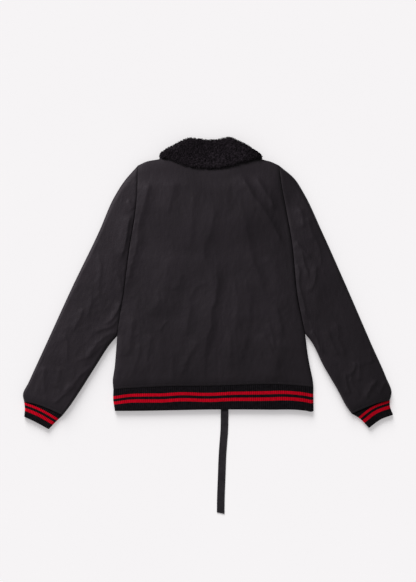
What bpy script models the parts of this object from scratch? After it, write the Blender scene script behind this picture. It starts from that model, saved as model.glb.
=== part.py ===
"""A bomber jacket laid flat on its front, with its back uppermost.

Z is up, the jacket lies on z = 0 and its collar points along +Y.  The origin is the middle of
the jacket's plan, without the strap.  All sizes below are in millimetres and are turned into
metres where a mesh is made.

Every piece of cloth is a wall.  Its plan is a patch between four smooth edges, and its heights
come from the layers it lies on: collar leaf, front, back, collar fall.  Edges that are seen from
the side round off to half height, edges that are sewn sink into a groove, and the shell is
gathered down to the height of the rib where a rib is sewn on.
"""

import math

import bmesh
import bpy
import numpy as np

MM = 0.001

# ---------------------------------------------------------------- driving sizes (mm)
SEAM_GAP = 0.40             # between two pieces that are sewn together
SHELL_WALL = 7.0            # shell, wadding and lining together
LAYER_GAP = 0.6             # between the fronts and the back, which lie on each other
BACK_PUFF = 3.2             # loft in the middle of the back panel
SLEEVE_PUFF = 2.6           # loft along the middle of a sleeve
RIM = 1.3                   # height of a wall at an edge that is rounded off
SIDE_ROUND = 17.0           # how far the side edges round off
SHARE_ROUND = 0.058         # the same on sleeves and shoulders, as a share of the armhole
GATHER_DEPTH = 24.0         # how far above a rib the shell is drawn down
GATHER_SHARE = 0.40         # how much lower the shell is at a rib

RIB_WALL = 3.4              # rib knit, folded double
HEM_SLIT = 2.5              # between the two layers of the hem rib; the strap lies in it
CUFF_SLIT = 1.6
RIB_RAISE = 0.9             # a rib's height over the furrow beside it
HEM_RIBS = 104              # ribs across the back of the hem
CUFF_RIBS = 20              # ribs across the back of a cuff

COLLAR_WALL = 7.5           # curly pile on its backing
STAND_WALL = 6.0
COLLAR_LIFT = COLLAR_WALL + 0.5   # the fronts lie on the collar's front leaves
COLLAR_CLEAR = 0.9          # between the back panel and the fall that lies on it
NECK_CENTRE = (8.0, 330.0)
LIFT_INNER = 152.0          # the fronts are lifted fully within this radius of the neck
LIFT_OUTER = 252.0          # and lie on the floor outside this one
LIFT_SLACK = 16.0           # the back bridges the slope: its lift begins this much further out
NECK_SAG = 11.0             # how far the back sinks into the empty neck
NECK_SAG_CENTRE = (8.0, 350.0)
NECK_SAG_REACH = (52.0, 40.0)

ZIP_GAP = 14.0              # between the two front edges
TAPE_WALL = 1.0
TAPE_HEIGHT = 4.2           # underside of the tapes above the fronts' underside
CHAIN_WIDTH = 5.0
CHAIN_WALL = 1.8
CHAIN_DROP = 0.3            # the closed teeth hang this far under the tapes
ZIP_TOP = 236.0
SLIDER_TOP = ZIP_TOP - 6.0
PULL_THICK = 1.4
PULL_LENGTH = 29.0
PULL_DROOP = 14.5           # degrees: the pull's tip hangs down to what the jacket lies on
# Stops of the slider's blocks, from its middle, its upper end and the fronts' outer face.
SLIDER_X = (-4.5, -1.1, 1.1, 4.5)
SLIDER_Y = (-12.0, -8.0, -6.5, -1.5, 0.0)
SLIDER_Z = (-1.6, -0.6, 1.95, 3.85)
PULL_X = (-3.5, -1.9, 1.9, 3.5)
PULL_Y = (-PULL_LENGTH, -8.6, -0.7, 0.7)    # from the hinge's axis
HINGE_FROM_TOP = 3.0

STRAP_WIDTH = 20.0
STRAP_WALL = 1.5
STRAP_CLEAR = 0.35          # over the floor, and over the rib that it is sewn to

# Where stripes begin and end, as shares of a rib's height below its seam.
HEM_STRIPES = ((0.268, 0.421), (0.523, 0.680))
CUFF_STRIPES = ((0.20, 0.34), (0.46, 0.63))

BACK_COLUMNS = 17
BODY_ROWS = 10
SLEEVE_ROWS = 8
UNDERARM_SHARE = 0.24       # the side seam's share of the body's height

# ---------------------------------------------------------------- plan of the edges (x, y)
SIDE_LEFT = [(-245.7, -274.3), (-247.2, -251.0), (-243.1, -225.0), (-239.2, -183.0), (-235.8, -136.5)]
SIDE_RIGHT = [(273.8, -269.1), (271.9, -251.0), (266.5, -225.0), (258.7, -183.0), (252.2, -131.3)]
ARMHOLE_LEFT = [(-235.8, -136.5), (-230.0, -95.0), (-218.7, -26.0), (-202.0, 98.0), (-189.0, 178.0),
                (-183.6, 230.0), (-182.0, 305.5)]
ARMHOLE_RIGHT = [(252.2, -131.3), (245.7, -100.0), (234.0, -43.0), (216.8, 115.0), (202.8, 191.0),
                 (190.5, 256.0), (184.6, 305.5)]
HEM_SEAM = [(-245.7, -274.3), (-203.0, -271.7), (-125.0, -267.8), (5.0, -265.7), (213.0, -263.1),
            (252.0, -266.3), (273.8, -269.1)]
HEM_EDGE = [(-241.8, -330.9), (-180.0, -330.6), (-90.0, -329.0), (9.0, -327.2), (160.0, -327.6),
            (240.0, -329.9), (274.3, -329.8)]
HEM_SIDE_LEFT = [(-245.7, -274.3), (-246.3, -300.0), (-241.8, -330.9)]
HEM_SIDE_RIGHT = [(273.8, -269.1), (273.9, -300.0), (274.3, -329.8)]
SHOULDERS = [(-182.0, 305.5), (-158.6, 315.9), (-124.0, 322.5), (-96.0, 326.5), (-45.0, 321.0),
             (8.0, 318.5), (61.0, 321.0), (110.0, 325.5), (139.0, 321.5), (161.2, 315.9),
             (184.6, 305.5)]

SLEEVE_OUTER_LEFT = [(-182.0, 305.5), (-218.4, 263.9), (-244.4, 222.3), (-280.8, 139.1), (-351.0, -6.5),
                     (-422.5, -162.5), (-465.4, -256.1), (-480.5, -289.9), (-477.4, -306.8)]
SLEEVE_INNER_LEFT = [(-235.8, -136.5), (-251.5, -154.5), (-291.2, -214.5), (-330.2, -276.0),
                     (-358.8, -318.5), (-377.0, -341.9)]
SLEEVE_OUTER_RIGHT = [(184.6, 305.5), (226.0, 270.0), (250.0, 232.0), (293.8, 139.1), (358.8, -6.5),
                      (426.4, -162.5), (462.0, -243.0), (476.4, -284.0), (472.4, -302.9)]
SLEEVE_INNER_RIGHT = [(252.2, -131.3), (264.5, -146.0), (300.3, -214.5), (336.7, -276.9),
                      (362.5, -324.0), (373.1, -338.0)]
CUFF_SEAM_LEFT = [(-477.4, -306.8), (-448.0, -312.5), (-412.0, -325.5), (-377.0, -341.9)]
CUFF_SEAM_RIGHT = [(472.4, -302.9), (440.0, -310.0), (404.0, -324.0), (373.1, -338.0)]
CUFF_EDGE_LEFT = [(-477.4, -345.8), (-448.0, -359.5), (-413.4, -378.3)]
CUFF_EDGE_RIGHT = [(480.7, -340.6), (449.0, -352.5), (417.8, -375.0)]
CUFF_OUTER_LEFT = [(-477.4, -306.8), (-475.8, -325.0), (-477.4, -345.8)]
CUFF_OUTER_RIGHT = [(472.4, -302.9), (472.6, -318.0), (480.7, -340.6)]
CUFF_INNER_LEFT = [(-377.0, -341.9), (-396.2, -360.1), (-413.4, -378.3)]
CUFF_INNER_RIGHT = [(373.1, -338.0), (394.0, -350.5), (417.8, -375.0)]

# The collar: its upper outline from corner to corner, with its height there, and the fall's edge.
COLLAR_OUTLINE = [(-127.0, 331.5, 15.0), (-122.0, 339.0, 15.5), (-111.0, 346.5, 16.5), (-88.4, 358.0, 18.0),
                  (-70.2, 367.9, 18.0), (-48.9, 376.4, 16.0), (-20.8, 373.8, 13.5), (9.4, 372.0, 12.5),
                  (33.8, 374.6, 13.5), (58.5, 378.2, 16.0), (83.2, 367.0, 18.0), (103.0, 356.8, 18.0),
                  (120.0, 345.8, 16.5), (134.5, 338.0, 15.5), (142.5, 330.5, 15.0)]
LEAF_KNOTS = 3              # the outline's first and last knots, where it turns into a front leaf
FALL_EDGE = [(-126.5, 319.5), (-96.7, 316.0), (-65.0, 304.5), (-30.4, 298.2), (9.4, 297.5),
             (49.1, 300.8), (88.9, 310.7), (115.4, 316.5), (142.0, 319.0)]
# One front leaf, as offsets from the neck's middle; the other is its mirror image.
LEAF_OUTER = [(-136.0, -30.0), (-126.0, -68.0), (-103.0, -102.0), (-80.0, -130.0)]
LEAF_INNER = [(-99.5, 5.0), (-93.0, -30.0), (-62.0, -62.0), (-8.0, -76.0)]
STAND_SIDE = 66.0           # the back stand ends this far from the neck's middle
FRONT_NECK = [(-106.0, -1.5), (-95.0, -30.0), (-62.0, -72.0), (-24.0, -92.0)]
FRONT_EDGE_TOP = (8.0, 236.0)
FRONT_EDGE_BOTTOM = (13.6, -265.0)

# The largest folds: a ridge (height over 0) or trough (under 0) between two plan points.
FOLD_COLUMNS = ("x0", "y0", "x1", "y1", "half_width", "height")
BACK_FOLDS = [
    (109, 276, 137, 232, 9, -2.2),
    (137, 232, 196, 158, 10, -2.6),
    (124, 280, 158, 222, 8, 2.4),
    (135, 268, 176, 206, 7, -1.8),
    (14, 198, 12, 110, 11, -1.6),
    (12, 110, 27, 12, 12, -2.0),
    (27, 12, 14, -96, 12, -2.4),
    (14, -96, -8, -212, 10, -2.0),
    (46, 40, 40, -90, 15, 2.2),
    (98, 150, 116, 60, 12, -1.8),
    (116, 60, 160, -30, 12, -1.8),
    (130, 120, 150, 30, 14, 1.8),
    (-150, 268, -176, 146, 10, -1.8),
    (-128, 262, -146, 150, 12, 2.0),
    (-92, 262, -118, 166, 11, -1.6),
    (-42, -6, -86, -70, 11, -1.6),
    (-60, 30, -40, 150, 18, 1.4),
    (-30, -172, -56, -218, 10, -1.5),
    (170, -60, 196, -190, 14, -1.4),
]
SLEEVE_FOLDS_LEFT = [
    (-197, 224, -213, 114, 9, -3.0),
    (-222, 214, -232, 110, 12, 2.0),
    (-234, -86, -273, -108, 9, -2.2),
    (-240, -60, -282, -84, 11, 1.8),
    (-238, -146, -320, -190, 10, -2.0),
    (-300, 30, -322, -60, 14, -1.4),
    (-346, -150, -352, -212, 11, -1.3),
    (-400, -258, -372, -312, 9, 1.3),
]
SLEEVE_FOLDS_RIGHT = [
    (232, 266, 258, 208, 10, -1.8),
    (214, 236, 240, 150, 10, 2.2),
    (240, 88, 270, 8, 10, -2.0),
    (262, 96, 292, 0, 12, 1.8),
    (276, 40, 262, -30, 8, -1.6),
    (322, -134, 350, -200, 10, -2.2),
    (344, -120, 372, -190, 11, 1.8),
    (370, -200, 384, -290, 10, -2.0),
    (420, -242, 388, -296, 9, -2.0),
    (446, -248, 414, -294, 8, 1.6),
]
COLLAR_EASE = 40.0          # folds die out this far from the collar

# The strap's middle line on the floor and, at its sewn end, on the front of the hem rib.
STRAP_ROUTE = [(43.0, -300.0), (43.2, -314.0), (43.3, -326.0), (43.2, -336.0), (43.0, -348.0),
               (42.9, -362.0), (42.2, -384.0), (40.2, -410.0), (38.0, -440.0), (36.6, -470.0),
               (35.6, -500.0), (34.4, -530.0), (33.4, -560.0), (33.0, -597.0)]
STRAP_STEPS = 30
STRAP_DROP = (-331.0, -362.0)   # the strap comes down from the rib to the floor between these

CLOTH_BLACK = (0.021, 0.019, 0.022)
RIB_BLACK = (0.010, 0.010, 0.011)
RIB_RED = (0.42, 0.006, 0.018)
PILE_BLACK = (0.008, 0.0075, 0.0085)
WEBBING_BLACK = (0.020, 0.019, 0.021)
TAPE_BLACK = (0.012, 0.012, 0.013)
METAL_GREY = (0.18, 0.18, 0.19)


# ---------------------------------------------------------------- curves and patches
class Path:
    """A smooth curve through its knots, followed by arc length from 0 to 1."""

    FINE = 12

    def __init__(self, knots):
        knots = np.array(knots, float)
        steps = np.linalg.norm(np.diff(knots[:, :2], axis=0), axis=1)
        slopes = np.diff(knots, axis=0) / steps[:, None]
        weight = (steps[1:] / (steps[1:] + steps[:-1]))[:, None]
        middle = weight * slopes[:-1] + (1 - weight) * slopes[1:]
        tangents = np.vstack([slopes[:1], middle, slopes[-1:]])
        points = [knots[:1]]
        t = (np.arange(1, self.FINE + 1) / self.FINE)[:, None]
        for i, step in enumerate(steps):
            points.append((2 * t**3 - 3 * t**2 + 1) * knots[i] + (t**3 - 2 * t**2 + t) * step * tangents[i]
                          + (3 * t**2 - 2 * t**3) * knots[i + 1] + (t**3 - t**2) * step * tangents[i + 1])
        self.points = np.vstack(points)
        along = np.linalg.norm(np.diff(self.points[:, :2], axis=0), axis=1)
        self.along = np.concatenate([[0], np.cumsum(along)])
        self.length = self.along[-1]

    def share(self, knot):
        """The share of the length at a knot."""
        return self.along[knot * self.FINE] / self.length

    def at(self, share):
        where = np.asarray(share, float) * self.length
        return np.stack([np.interp(where, self.along, column) for column in self.points.T], axis=-1)


def part_of(path, start, end):
    return lambda share: path.at(start + (end - start) * np.asarray(share, float))


def moved(edge, dx, dy):
    return lambda share: edge(share)[..., :2] + (dx, dy)


def is_red(row):
    """Whether the faces that begin at this row of a rib are red."""
    return row in (1, 3)


def straight(start, end):
    start, end = np.array(start, float), np.array(end, float)
    return lambda share: start + np.asarray(share, float)[..., None] * (end - start)


def body_edge(side, armhole):
    """Side seam then armhole as one edge; the underarm is at UNDERARM_SHARE."""
    side, armhole = Path(side), Path(armhole)

    def edge(share):
        share = np.asarray(share, float)
        low = side.at(np.clip(share / UNDERARM_SHARE, 0, 1))
        high = armhole.at(np.clip((share - UNDERARM_SHARE) / (1 - UNDERARM_SHARE), 0, 1))
        return np.where((share < UNDERARM_SHARE)[..., None], low, high)

    return edge


def patch(bottom, top, left, right, u, v):
    """Plan points of the patch between four edges, as rows (v) of columns (u)."""
    u, v = np.array(u, float), np.array(v, float)
    across, up = u[None, :, None], v[:, None, None]
    corners = [edge(np.array([0.0, 1.0]))[..., :2] for edge in (bottom, top)]
    flat = ((1 - across) * (1 - up) * corners[0][0] + across * (1 - up) * corners[0][1]
            + (1 - across) * up * corners[1][0] + across * up * corners[1][1])
    return ((1 - up) * bottom(u)[None, :, :2] + up * top(u)[None, :, :2]
            + (1 - across) * left(v)[:, None, :2] + across * right(v)[:, None, :2] - flat)


def stops(start_stops, count, end_stops):
    """Shares from 0 to 1: given ones near each end, and count even steps between them."""
    start, end = list(start_stops), [1 - s for s in reversed(end_stops)]
    between = list(np.linspace(start[-1], end[0], count + 1)[1:-1])
    return np.array(start + between + end)


# ---------------------------------------------------------------- heights
def rounded(share):
    """A quarter circle: 0 at an edge, 1 where share is 1 or more."""
    share = np.clip(share, 0, 1)
    return np.sqrt(1 - (1 - share) ** 2)


def eased(share):
    share = np.clip(share, 0, 1)
    return share * share * (3 - 2 * share)


def lift(plan, slack=0.0):
    """How far the collar's front leaves lift what lies on them."""
    away = np.hypot(plan[..., 0] - NECK_CENTRE[0], plan[..., 1] - NECK_CENTRE[1]) - slack
    return COLLAR_LIFT * eased((LIFT_OUTER - away) / (LIFT_OUTER - LIFT_INNER))


def neck_sag(plan):
    """How far the back sinks where no front lies under it."""
    across = (plan[..., 0] - NECK_SAG_CENTRE[0]) / NECK_SAG_REACH[0]
    up = (plan[..., 1] - NECK_SAG_CENTRE[1]) / NECK_SAG_REACH[1]
    return NECK_SAG * np.exp(-across**2 - up**2)


def folds(plan, table):
    """The summed height of a table's folds."""
    total = np.zeros(plan.shape[:-1])
    for row in table:
        fold = dict(zip(FOLD_COLUMNS, row))
        start = np.array([fold["x0"], fold["y0"]], float)
        run = np.array([fold["x1"], fold["y1"]], float) - start
        along = np.clip(((plan - start) @ run) / (run @ run), 0, 1)
        away = np.linalg.norm(plan - start - along[..., None] * run, axis=-1)
        total += fold["height"] * np.exp(-((away / fold["half_width"]) ** 2))
    return total


def gathered(distance):
    """The share of its height that the shell keeps at this distance from a rib."""
    return 1 - GATHER_SHARE * (1 - rounded(distance / GATHER_DEPTH))


def with_height(plan, height):
    return np.concatenate([plan, np.broadcast_to(height, plan.shape[:-1])[..., None]], axis=-1)


# ---------------------------------------------------------------- meshes
def material(name, colour, roughness, metallic=0.0):
    made = bpy.data.materials.new(name)
    made.use_nodes = True
    shader = made.node_tree.nodes["Principled BSDF"]
    shader.inputs["Base Color"].default_value = (*colour, 1)
    shader.inputs["Roughness"].default_value = roughness
    shader.inputs["Metallic"].default_value = metallic
    return made


def line_shares(line):
    run = np.concatenate([[0], np.cumsum(np.linalg.norm(np.diff(line[:, :2], axis=0), axis=1))])
    return run / run[-1]


def add_band(bm, first, second):
    """Triangles between two lines that may have different counts of points."""
    ends = ([bm.verts.new(point * MM) for point in line] for line in (first, second))
    first_verts, second_verts = ends
    first_at, second_at = line_shares(first), line_shares(second)
    i = j = 0
    while i < len(first) - 1 or j < len(second) - 1:
        ahead = j == len(second) - 1 or (i < len(first) - 1 and first_at[i + 1] < second_at[j + 1])
        corner = first_verts[i + 1] if ahead else second_verts[j + 1]
        bm.faces.new((first_verts[i], corner, second_verts[j]))
        i, j = (i + 1, j) if ahead else (i, j + 1)


def solid(name, grids, materials, outlines=(), bands=(), striped=(), stripe=None):
    """One closed body from grids of points, bands between lines, and flat outlines.

    stripe(row) says whether the faces above that row take the second material, in the grids
    whose numbers are in striped.
    """
    bm = bmesh.new()
    for number, grid in enumerate(grids):
        rows, columns = grid.shape[:2]
        verts = [[bm.verts.new(point * MM) for point in line] for line in grid]
        for j in range(rows - 1):
            for i in range(columns - 1):
                face = bm.faces.new((verts[j][i], verts[j][i + 1], verts[j + 1][i + 1], verts[j + 1][i]))
                face.material_index = int(number in striped and stripe(j))
    for first, second in bands:
        add_band(bm, first, second)
    for outline in outlines:
        bm.faces.new([bm.verts.new(point * MM) for point in outline])
    bmesh.ops.remove_doubles(bm, verts=bm.verts, dist=1e-6)
    bmesh.ops.recalc_face_normals(bm, faces=bm.faces)
    mesh = bpy.data.meshes.new(name)
    bm.to_mesh(mesh)
    bm.free()
    mesh.shade_smooth()
    mesh.set_sharp_from_angle(angle=math.radians(40))
    made = bpy.data.objects.new(name, mesh)
    bpy.context.scene.collection.objects.link(made)
    for one in materials:
        mesh.materials.append(one)
    return made


def strip(first, second):
    """The two-row grid between two lines of points."""
    return np.stack([first, second])


def wall(outer, inner):
    """Grids of a closed wall between two sheets with the same rows and columns."""
    return [outer, inner, strip(outer[0], inner[0]), strip(outer[-1], inner[-1]),
            strip(outer[:, 0], inner[:, 0]), strip(outer[:, -1], inner[:, -1])]


def tube_ends(top, bottom, inner_top, inner_bottom):
    """The bands that close a flattened tube's wall at its first and last rows."""
    return [pair for row in (0, -1) for pair in ((top[row], inner_top[row]), (bottom[row], inner_bottom[row]))]


def between(plan, u, shares):
    """Plan rows read again at other shares, along the straight steps between their points."""
    return np.stack([np.stack([np.interp(shares, u, row[:, k]) for k in (0, 1)], axis=-1) for row in plan])


# ---------------------------------------------------------------- body
ARM_STOPS = stops((0, 0.004, 0.013, 0.029, 0.054), BODY_ROWS, (0, 0.004, 0.013, 0.029, 0.054))


def body_rows():
    """Rows of the body: even ones along the side seam, then those that the sleeves share."""
    side = stops((0, 0.02, 0.06, 0.11, 0.18), 3, (0,))
    return np.concatenate([side[:-1] * UNDERARM_SHARE, UNDERARM_SHARE + ARM_STOPS * (1 - UNDERARM_SHARE)])


def side_depth(v, groove):
    """How much of its height a body edge loses: nearly all on the side, a groove on the armhole."""
    over = eased((v - UNDERARM_SHARE) / 0.03)
    return (1 - over) * 0.85 + over * groove


def back_heights(plan, u, v):
    """Under and upper height of the back panel."""
    u, v = np.array(u)[None, :], np.array(v)[:, None]
    width = np.linalg.norm(plan[:, -1] - plan[:, 0], axis=-1)[:, None]
    rise = np.linalg.norm(plan[-1] - plan[0], axis=-1)[None, :]
    keep = gathered(v * rise)
    left = 1 - side_depth(v, 0.30) * (1 - rounded(u * width / SIDE_ROUND))
    right = 1 - side_depth(v, 0.62) * (1 - rounded((1 - u) * width / SIDE_ROUND))
    on_shoulder = 1 - eased((np.minimum(u, 1 - u) - 0.20) / 0.10)
    top_share = (1 - v) / (1 - UNDERARM_SHARE) / SHARE_ROUND
    top = 1 - 0.85 * on_shoulder * (1 - rounded(top_share))
    seam = 1 - 0.28 * (1 - rounded(v * rise / 9.0))
    from_neck = np.hypot(plan[..., 0] - NECK_CENTRE[0], plan[..., 1] - NECK_CENTRE[1])
    free = eased((from_neck - 55.0) / COLLAR_EASE) * eased((290.0 - plan[..., 1]) / COLLAR_EASE)
    puff = BACK_PUFF * (1 - (2 * u - 1) ** 4) * (1 - (2 * v - 1) ** 6) * free
    shape = puff + folds(plan, BACK_FOLDS) * free * rounded(v * rise / 40.0)
    under = SHELL_WALL + LAYER_GAP + lift(plan, LIFT_SLACK) - neck_sag(plan) + 0.35 * puff
    upper = SHELL_WALL + LAYER_GAP + lift(plan, LIFT_SLACK) - neck_sag(plan) + RIM
    upper = upper + (SHELL_WALL - RIM + shape) * left * right * top * seam
    return under * keep, np.maximum(upper, under + RIM) * keep


def back_columns():
    near_side = (0, 0.003, 0.01, 0.02, 0.036)
    return stops(near_side, BACK_COLUMNS, near_side)


def build_back(cloth):
    u, v = back_columns(), body_rows()
    plan = patch(Path(HEM_SEAM).at, Path(SHOULDERS).at, body_edge(SIDE_LEFT, ARMHOLE_LEFT),
                 body_edge(SIDE_RIGHT, ARMHOLE_RIGHT), u, v)
    under, upper = back_heights(plan, u, v)
    solid("back_panel", wall(with_height(plan, upper), with_height(plan, under)), [cloth])


def front_edge(side):
    """The straight edge beside the zip, from hem seam to neck."""
    return straight(np.add(FRONT_EDGE_BOTTOM, (side * ZIP_GAP / 2, 0)),
                    np.add(FRONT_EDGE_TOP, (side * ZIP_GAP / 2, 0)))


def front_plan(side):
    """Plan of a front, from its side seam (u = 0) to the zip (u = 1)."""
    left = side < 0
    hem = Path(HEM_SEAM)
    zip_x = FRONT_EDGE_BOTTOM[0] + side * ZIP_GAP / 2
    share = (zip_x - HEM_SEAM[0][0]) / (HEM_SEAM[-1][0] - HEM_SEAM[0][0])
    bottom = part_of(hem, 0 if left else 1, share)
    outer = body_edge(SIDE_LEFT, ARMHOLE_LEFT) if left else body_edge(SIDE_RIGHT, ARMHOLE_RIGHT)
    shoulder = SHOULDERS[:3] if left else SHOULDERS[:-4:-1]
    neck = [(NECK_CENTRE[0] - side * x, NECK_CENTRE[1] + y) for x, y in FRONT_NECK]
    end = front_edge(side)(np.array([1.0]))[0]
    top = Path([*shoulder, *neck, tuple(end)])
    u = stops((0, 0.007, 0.02, 0.04, 0.07), 6, (0,))
    v = body_rows()
    foot = bottom(np.array([1.0]))[0]
    inner = straight(foot, end)
    return patch(bottom, top.at, outer, inner, u, v), u, v


def build_front(side, name, cloth):
    plan, u, v = front_plan(side)
    width = np.linalg.norm(plan[:, -1] - plan[:, 0], axis=-1)[:, None]
    rise = np.linalg.norm(plan[-1] - plan[0], axis=-1)[None, :]
    keep = gathered(v[:, None] * rise)
    depth = side_depth(v[:, None], 0.0)
    edge = depth * (1 - rounded(u[None, :] * width / SIDE_ROUND))
    on_shoulder = 1 - eased((u[None, :] - 0.34) / 0.12)
    top_share = (1 - v[:, None]) / (1 - UNDERARM_SHARE) / SHARE_ROUND
    edge = np.maximum(edge, 0.85 * on_shoulder * (1 - rounded(top_share)))
    low = lift(plan)
    under = low + (SHELL_WALL - RIM) * edge
    upper = (low + SHELL_WALL) * keep
    under = np.minimum(under * keep, upper - RIM * keep)
    solid(name, wall(with_height(plan, upper), with_height(plan, under)), [cloth])


# ---------------------------------------------------------------- sleeves and cuffs
def sleeve_plan(side, u, v):
    left = side < 0
    armhole = Path(ARMHOLE_LEFT if left else ARMHOLE_RIGHT)
    start = moved(part_of(armhole, 1, 0), side * SEAM_GAP, 0)
    end = Path(CUFF_SEAM_LEFT if left else CUFF_SEAM_RIGHT).at
    outer = Path(SLEEVE_OUTER_LEFT if left else SLEEVE_OUTER_RIGHT)
    inner = Path(SLEEVE_INNER_LEFT if left else SLEEVE_INNER_RIGHT)
    outer, inner = (lambda s, p=p: p.at(s) + (side * SEAM_GAP, 0) * (1 - np.asarray(s))[..., None]
                    for p in (outer, inner))
    return patch(start, end, outer, inner, u, v)


def build_sleeve(side, name, cloth):
    u = ARM_STOPS
    v = stops((0, 0.008, 0.025, 0.05), SLEEVE_ROWS, (0, 0.012, 0.035, 0.07))
    plan = sleeve_plan(side, u, v)
    run = np.linalg.norm(np.diff(plan, axis=0), axis=-1).cumsum(axis=0)
    run = np.vstack([np.zeros((1, len(u))), run])
    to_cuff = run[-1][None, :] - run
    keep = gathered(to_cuff)
    edge = rounded(np.minimum(u, 1 - u) / SHARE_ROUND)[None, :]
    groove = 0.34 if side < 0 else 0.62
    seam = 1 - groove * (1 - rounded(run / 11.0))
    middle = SHELL_WALL + LAYER_GAP / 2 + lift(plan)
    table = SLEEVE_FOLDS_LEFT if side < 0 else SLEEVE_FOLDS_RIGHT
    along = np.array(v)[:, None]
    shape = (SLEEVE_PUFF * np.sin(np.pi * np.array(u)[None, :]) * rounded(along / 0.2)
             + folds(plan, table) * rounded(to_cuff / 40.0))
    rise = SHELL_WALL + LAYER_GAP / 2 + shape
    cuff_seam = 1 - 0.12 * (1 - rounded(to_cuff / 8.0))
    top = (middle + np.maximum(rise, 3.0) * edge * seam * cuff_seam) * keep
    low = lift(plan) * keep
    bottom = low + (middle * keep - low) * (1 - edge)
    few = [0, len(v) // 3, 2 * len(v) // 3, len(v) - 1]
    inside = u[4:-4]
    slit = plan[few][:, 4:-4]
    slit_middle = (SHELL_WALL + LAYER_GAP / 2 + lift(slit)) * keep[few][:, 4:-4]
    half = 0.8 * np.minimum(1, np.sin(np.pi * np.linspace(0, 1, len(inside))) * 4)[None, :]
    sheets = [with_height(plan, top), with_height(plan, bottom), with_height(slit, slit_middle + half),
              with_height(slit, slit_middle - half)]
    solid(name, sheets, [cloth], bands=tube_ends(*sheets))


def build_cuff(side, name, rib, red):
    left = side < 0
    seam = moved(Path(CUFF_SEAM_LEFT if left else CUFF_SEAM_RIGHT).at, 0, -SEAM_GAP)
    edge = Path(CUFF_EDGE_LEFT if left else CUFF_EDGE_RIGHT).at
    outer = Path(CUFF_OUTER_LEFT if left else CUFF_OUTER_RIGHT).at
    inner = Path(CUFF_INNER_LEFT if left else CUFF_INNER_RIGHT).at
    outer, inner = (lambda s, p=p: p(s) - (0, SEAM_GAP) * (1 - np.asarray(s))[..., None]
                    for p in (outer, inner))
    v = np.array([0, *(share for stripe in CUFF_STRIPES for share in stripe), 1])
    u_top = np.linspace(0, 1, 2 * CUFF_RIBS + 1)
    u_bottom = np.array([0, 0.02, 0.07, 0.25, 0.5, 0.75, 0.93, 0.98, 1])
    raised = np.where(np.arange(len(u_top)) % 2 == 1, RIB_RAISE, 0.0)
    middle = RIB_WALL + CUFF_SLIT / 2
    sheets = []
    for u, raise_by, way in ((u_top, raised, 1), (u_bottom, 0.0, -1)):
        side_round = rounded(np.minimum(u, 1 - u) / 0.07)
        plan = patch(seam, edge, outer, inner, u, v)
        sheets.append(with_height(plan, (middle + way * (middle + raise_by) * side_round)[None, :]))
    inside = np.linspace(0.04, 0.96, 9)
    slit = between(patch(seam, edge, outer, inner, u_top, v), u_top, inside)
    half = CUFF_SLIT / 2 * np.minimum(1, np.sin(np.pi * np.linspace(0, 1, 9)) * 4)[None, :]
    sheets += [with_height(slit, middle + half), with_height(slit, middle - half)]
    solid(name, sheets, [rib, red], bands=tube_ends(*sheets), striped=(0, 1), stripe=is_red)


# ---------------------------------------------------------------- hem rib
def hem_patch(u, v, drop):
    shares = back_columns()
    steps = Path(HEM_SEAM).at(shares) - (0, drop)

    def seam(share):
        return np.stack([np.interp(share, shares, steps[:, k]) for k in (0, 1)], axis=-1)

    left, right = (lambda s, p=Path(side).at: p(s) - (0, drop) * (1 - np.asarray(s))[..., None]
                   for side in (HEM_SIDE_LEFT, HEM_SIDE_RIGHT))
    return patch(seam, Path(HEM_EDGE).at, left, right, u, v)


def hem_chain(u_top, u_left, u_right, v, raised, inset):
    """The hem's closed-C section as one line of points: left front, back, right front."""
    inner = inset > 0
    scale = (1 - 2 * inset)
    middle = RIB_WALL + HEM_SLIT / 2
    parts = []
    for shares, on_back in ((u_left, False), (u_top, True), (u_right, False)):
        plan = hem_patch(inset + shares * scale, v, SEAM_GAP)
        if inner:
            height = middle + (1 if on_back else -1) * HEM_SLIT / 2 * np.ones(len(shares))
        else:
            side_round = rounded(np.minimum(shares, 1 - shares) * 520.0 / 6.0)
            height = middle + (1 if on_back else -1) * middle * side_round
            height = height + (raised * side_round if on_back else 0)
        parts.append(with_height(plan, height[None, :]))
    return np.concatenate(parts, axis=1)


def build_hem(rib, red):
    v = np.array([0, *(share for stripe in HEM_STRIPES for share in stripe), 1])
    zip_left, zip_right = ((FRONT_EDGE_BOTTOM[0] + side * ZIP_GAP / 2 - HEM_SEAM[0][0])
                           / (HEM_SEAM[-1][0] - HEM_SEAM[0][0]) for side in (-1, 1))
    u_top = np.linspace(0, 1, 2 * HEM_RIBS + 1)
    u_left = np.array([zip_left - 0.006, 0.3, 0.1, 0.012, 0.003])
    u_right = np.array([0.997, 0.988, 0.9, 0.7, zip_right + 0.004])
    raised = np.where(np.arange(len(u_top)) % 2 == 1, RIB_RAISE, 0.0)
    outer = hem_chain(u_top, u_left, u_right, v, raised, 0.0)
    few_top = np.linspace(0, 1, HEM_RIBS // 2 + 1)
    inset = RIB_WALL / 520.0 * 1.4
    inner = hem_chain(few_top, u_left[:4], u_right[1:], v[[0, -1]], 0.0, inset)
    split = [0, len(u_left), len(u_left) + len(u_top) - 1, outer.shape[1] - 1]
    inner_split = [0, 4, 4 + len(few_top) - 1, inner.shape[1] - 1]
    bands = [(outer[row, split[k]:split[k + 1] + 1], inner[row, inner_split[k]:inner_split[k + 1] + 1])
             for row in (0, -1) for k in range(3)]
    bands += [(outer[:, side], inner[:, side]) for side in (0, -1)]
    solid("hem_rib", [outer, inner], [rib, red], bands=bands, striped=(0,), stripe=is_red)


# ---------------------------------------------------------------- collar
def panel_top(plan):
    """Upper height of the back panel where the collar lies on it."""
    return 2 * SHELL_WALL + LAYER_GAP + lift(plan) - neck_sag(plan)


def leaf_path(side, offsets):
    return [(NECK_CENTRE[0] + side * -x, NECK_CENTRE[1] + y) for x, y in offsets]


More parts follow.
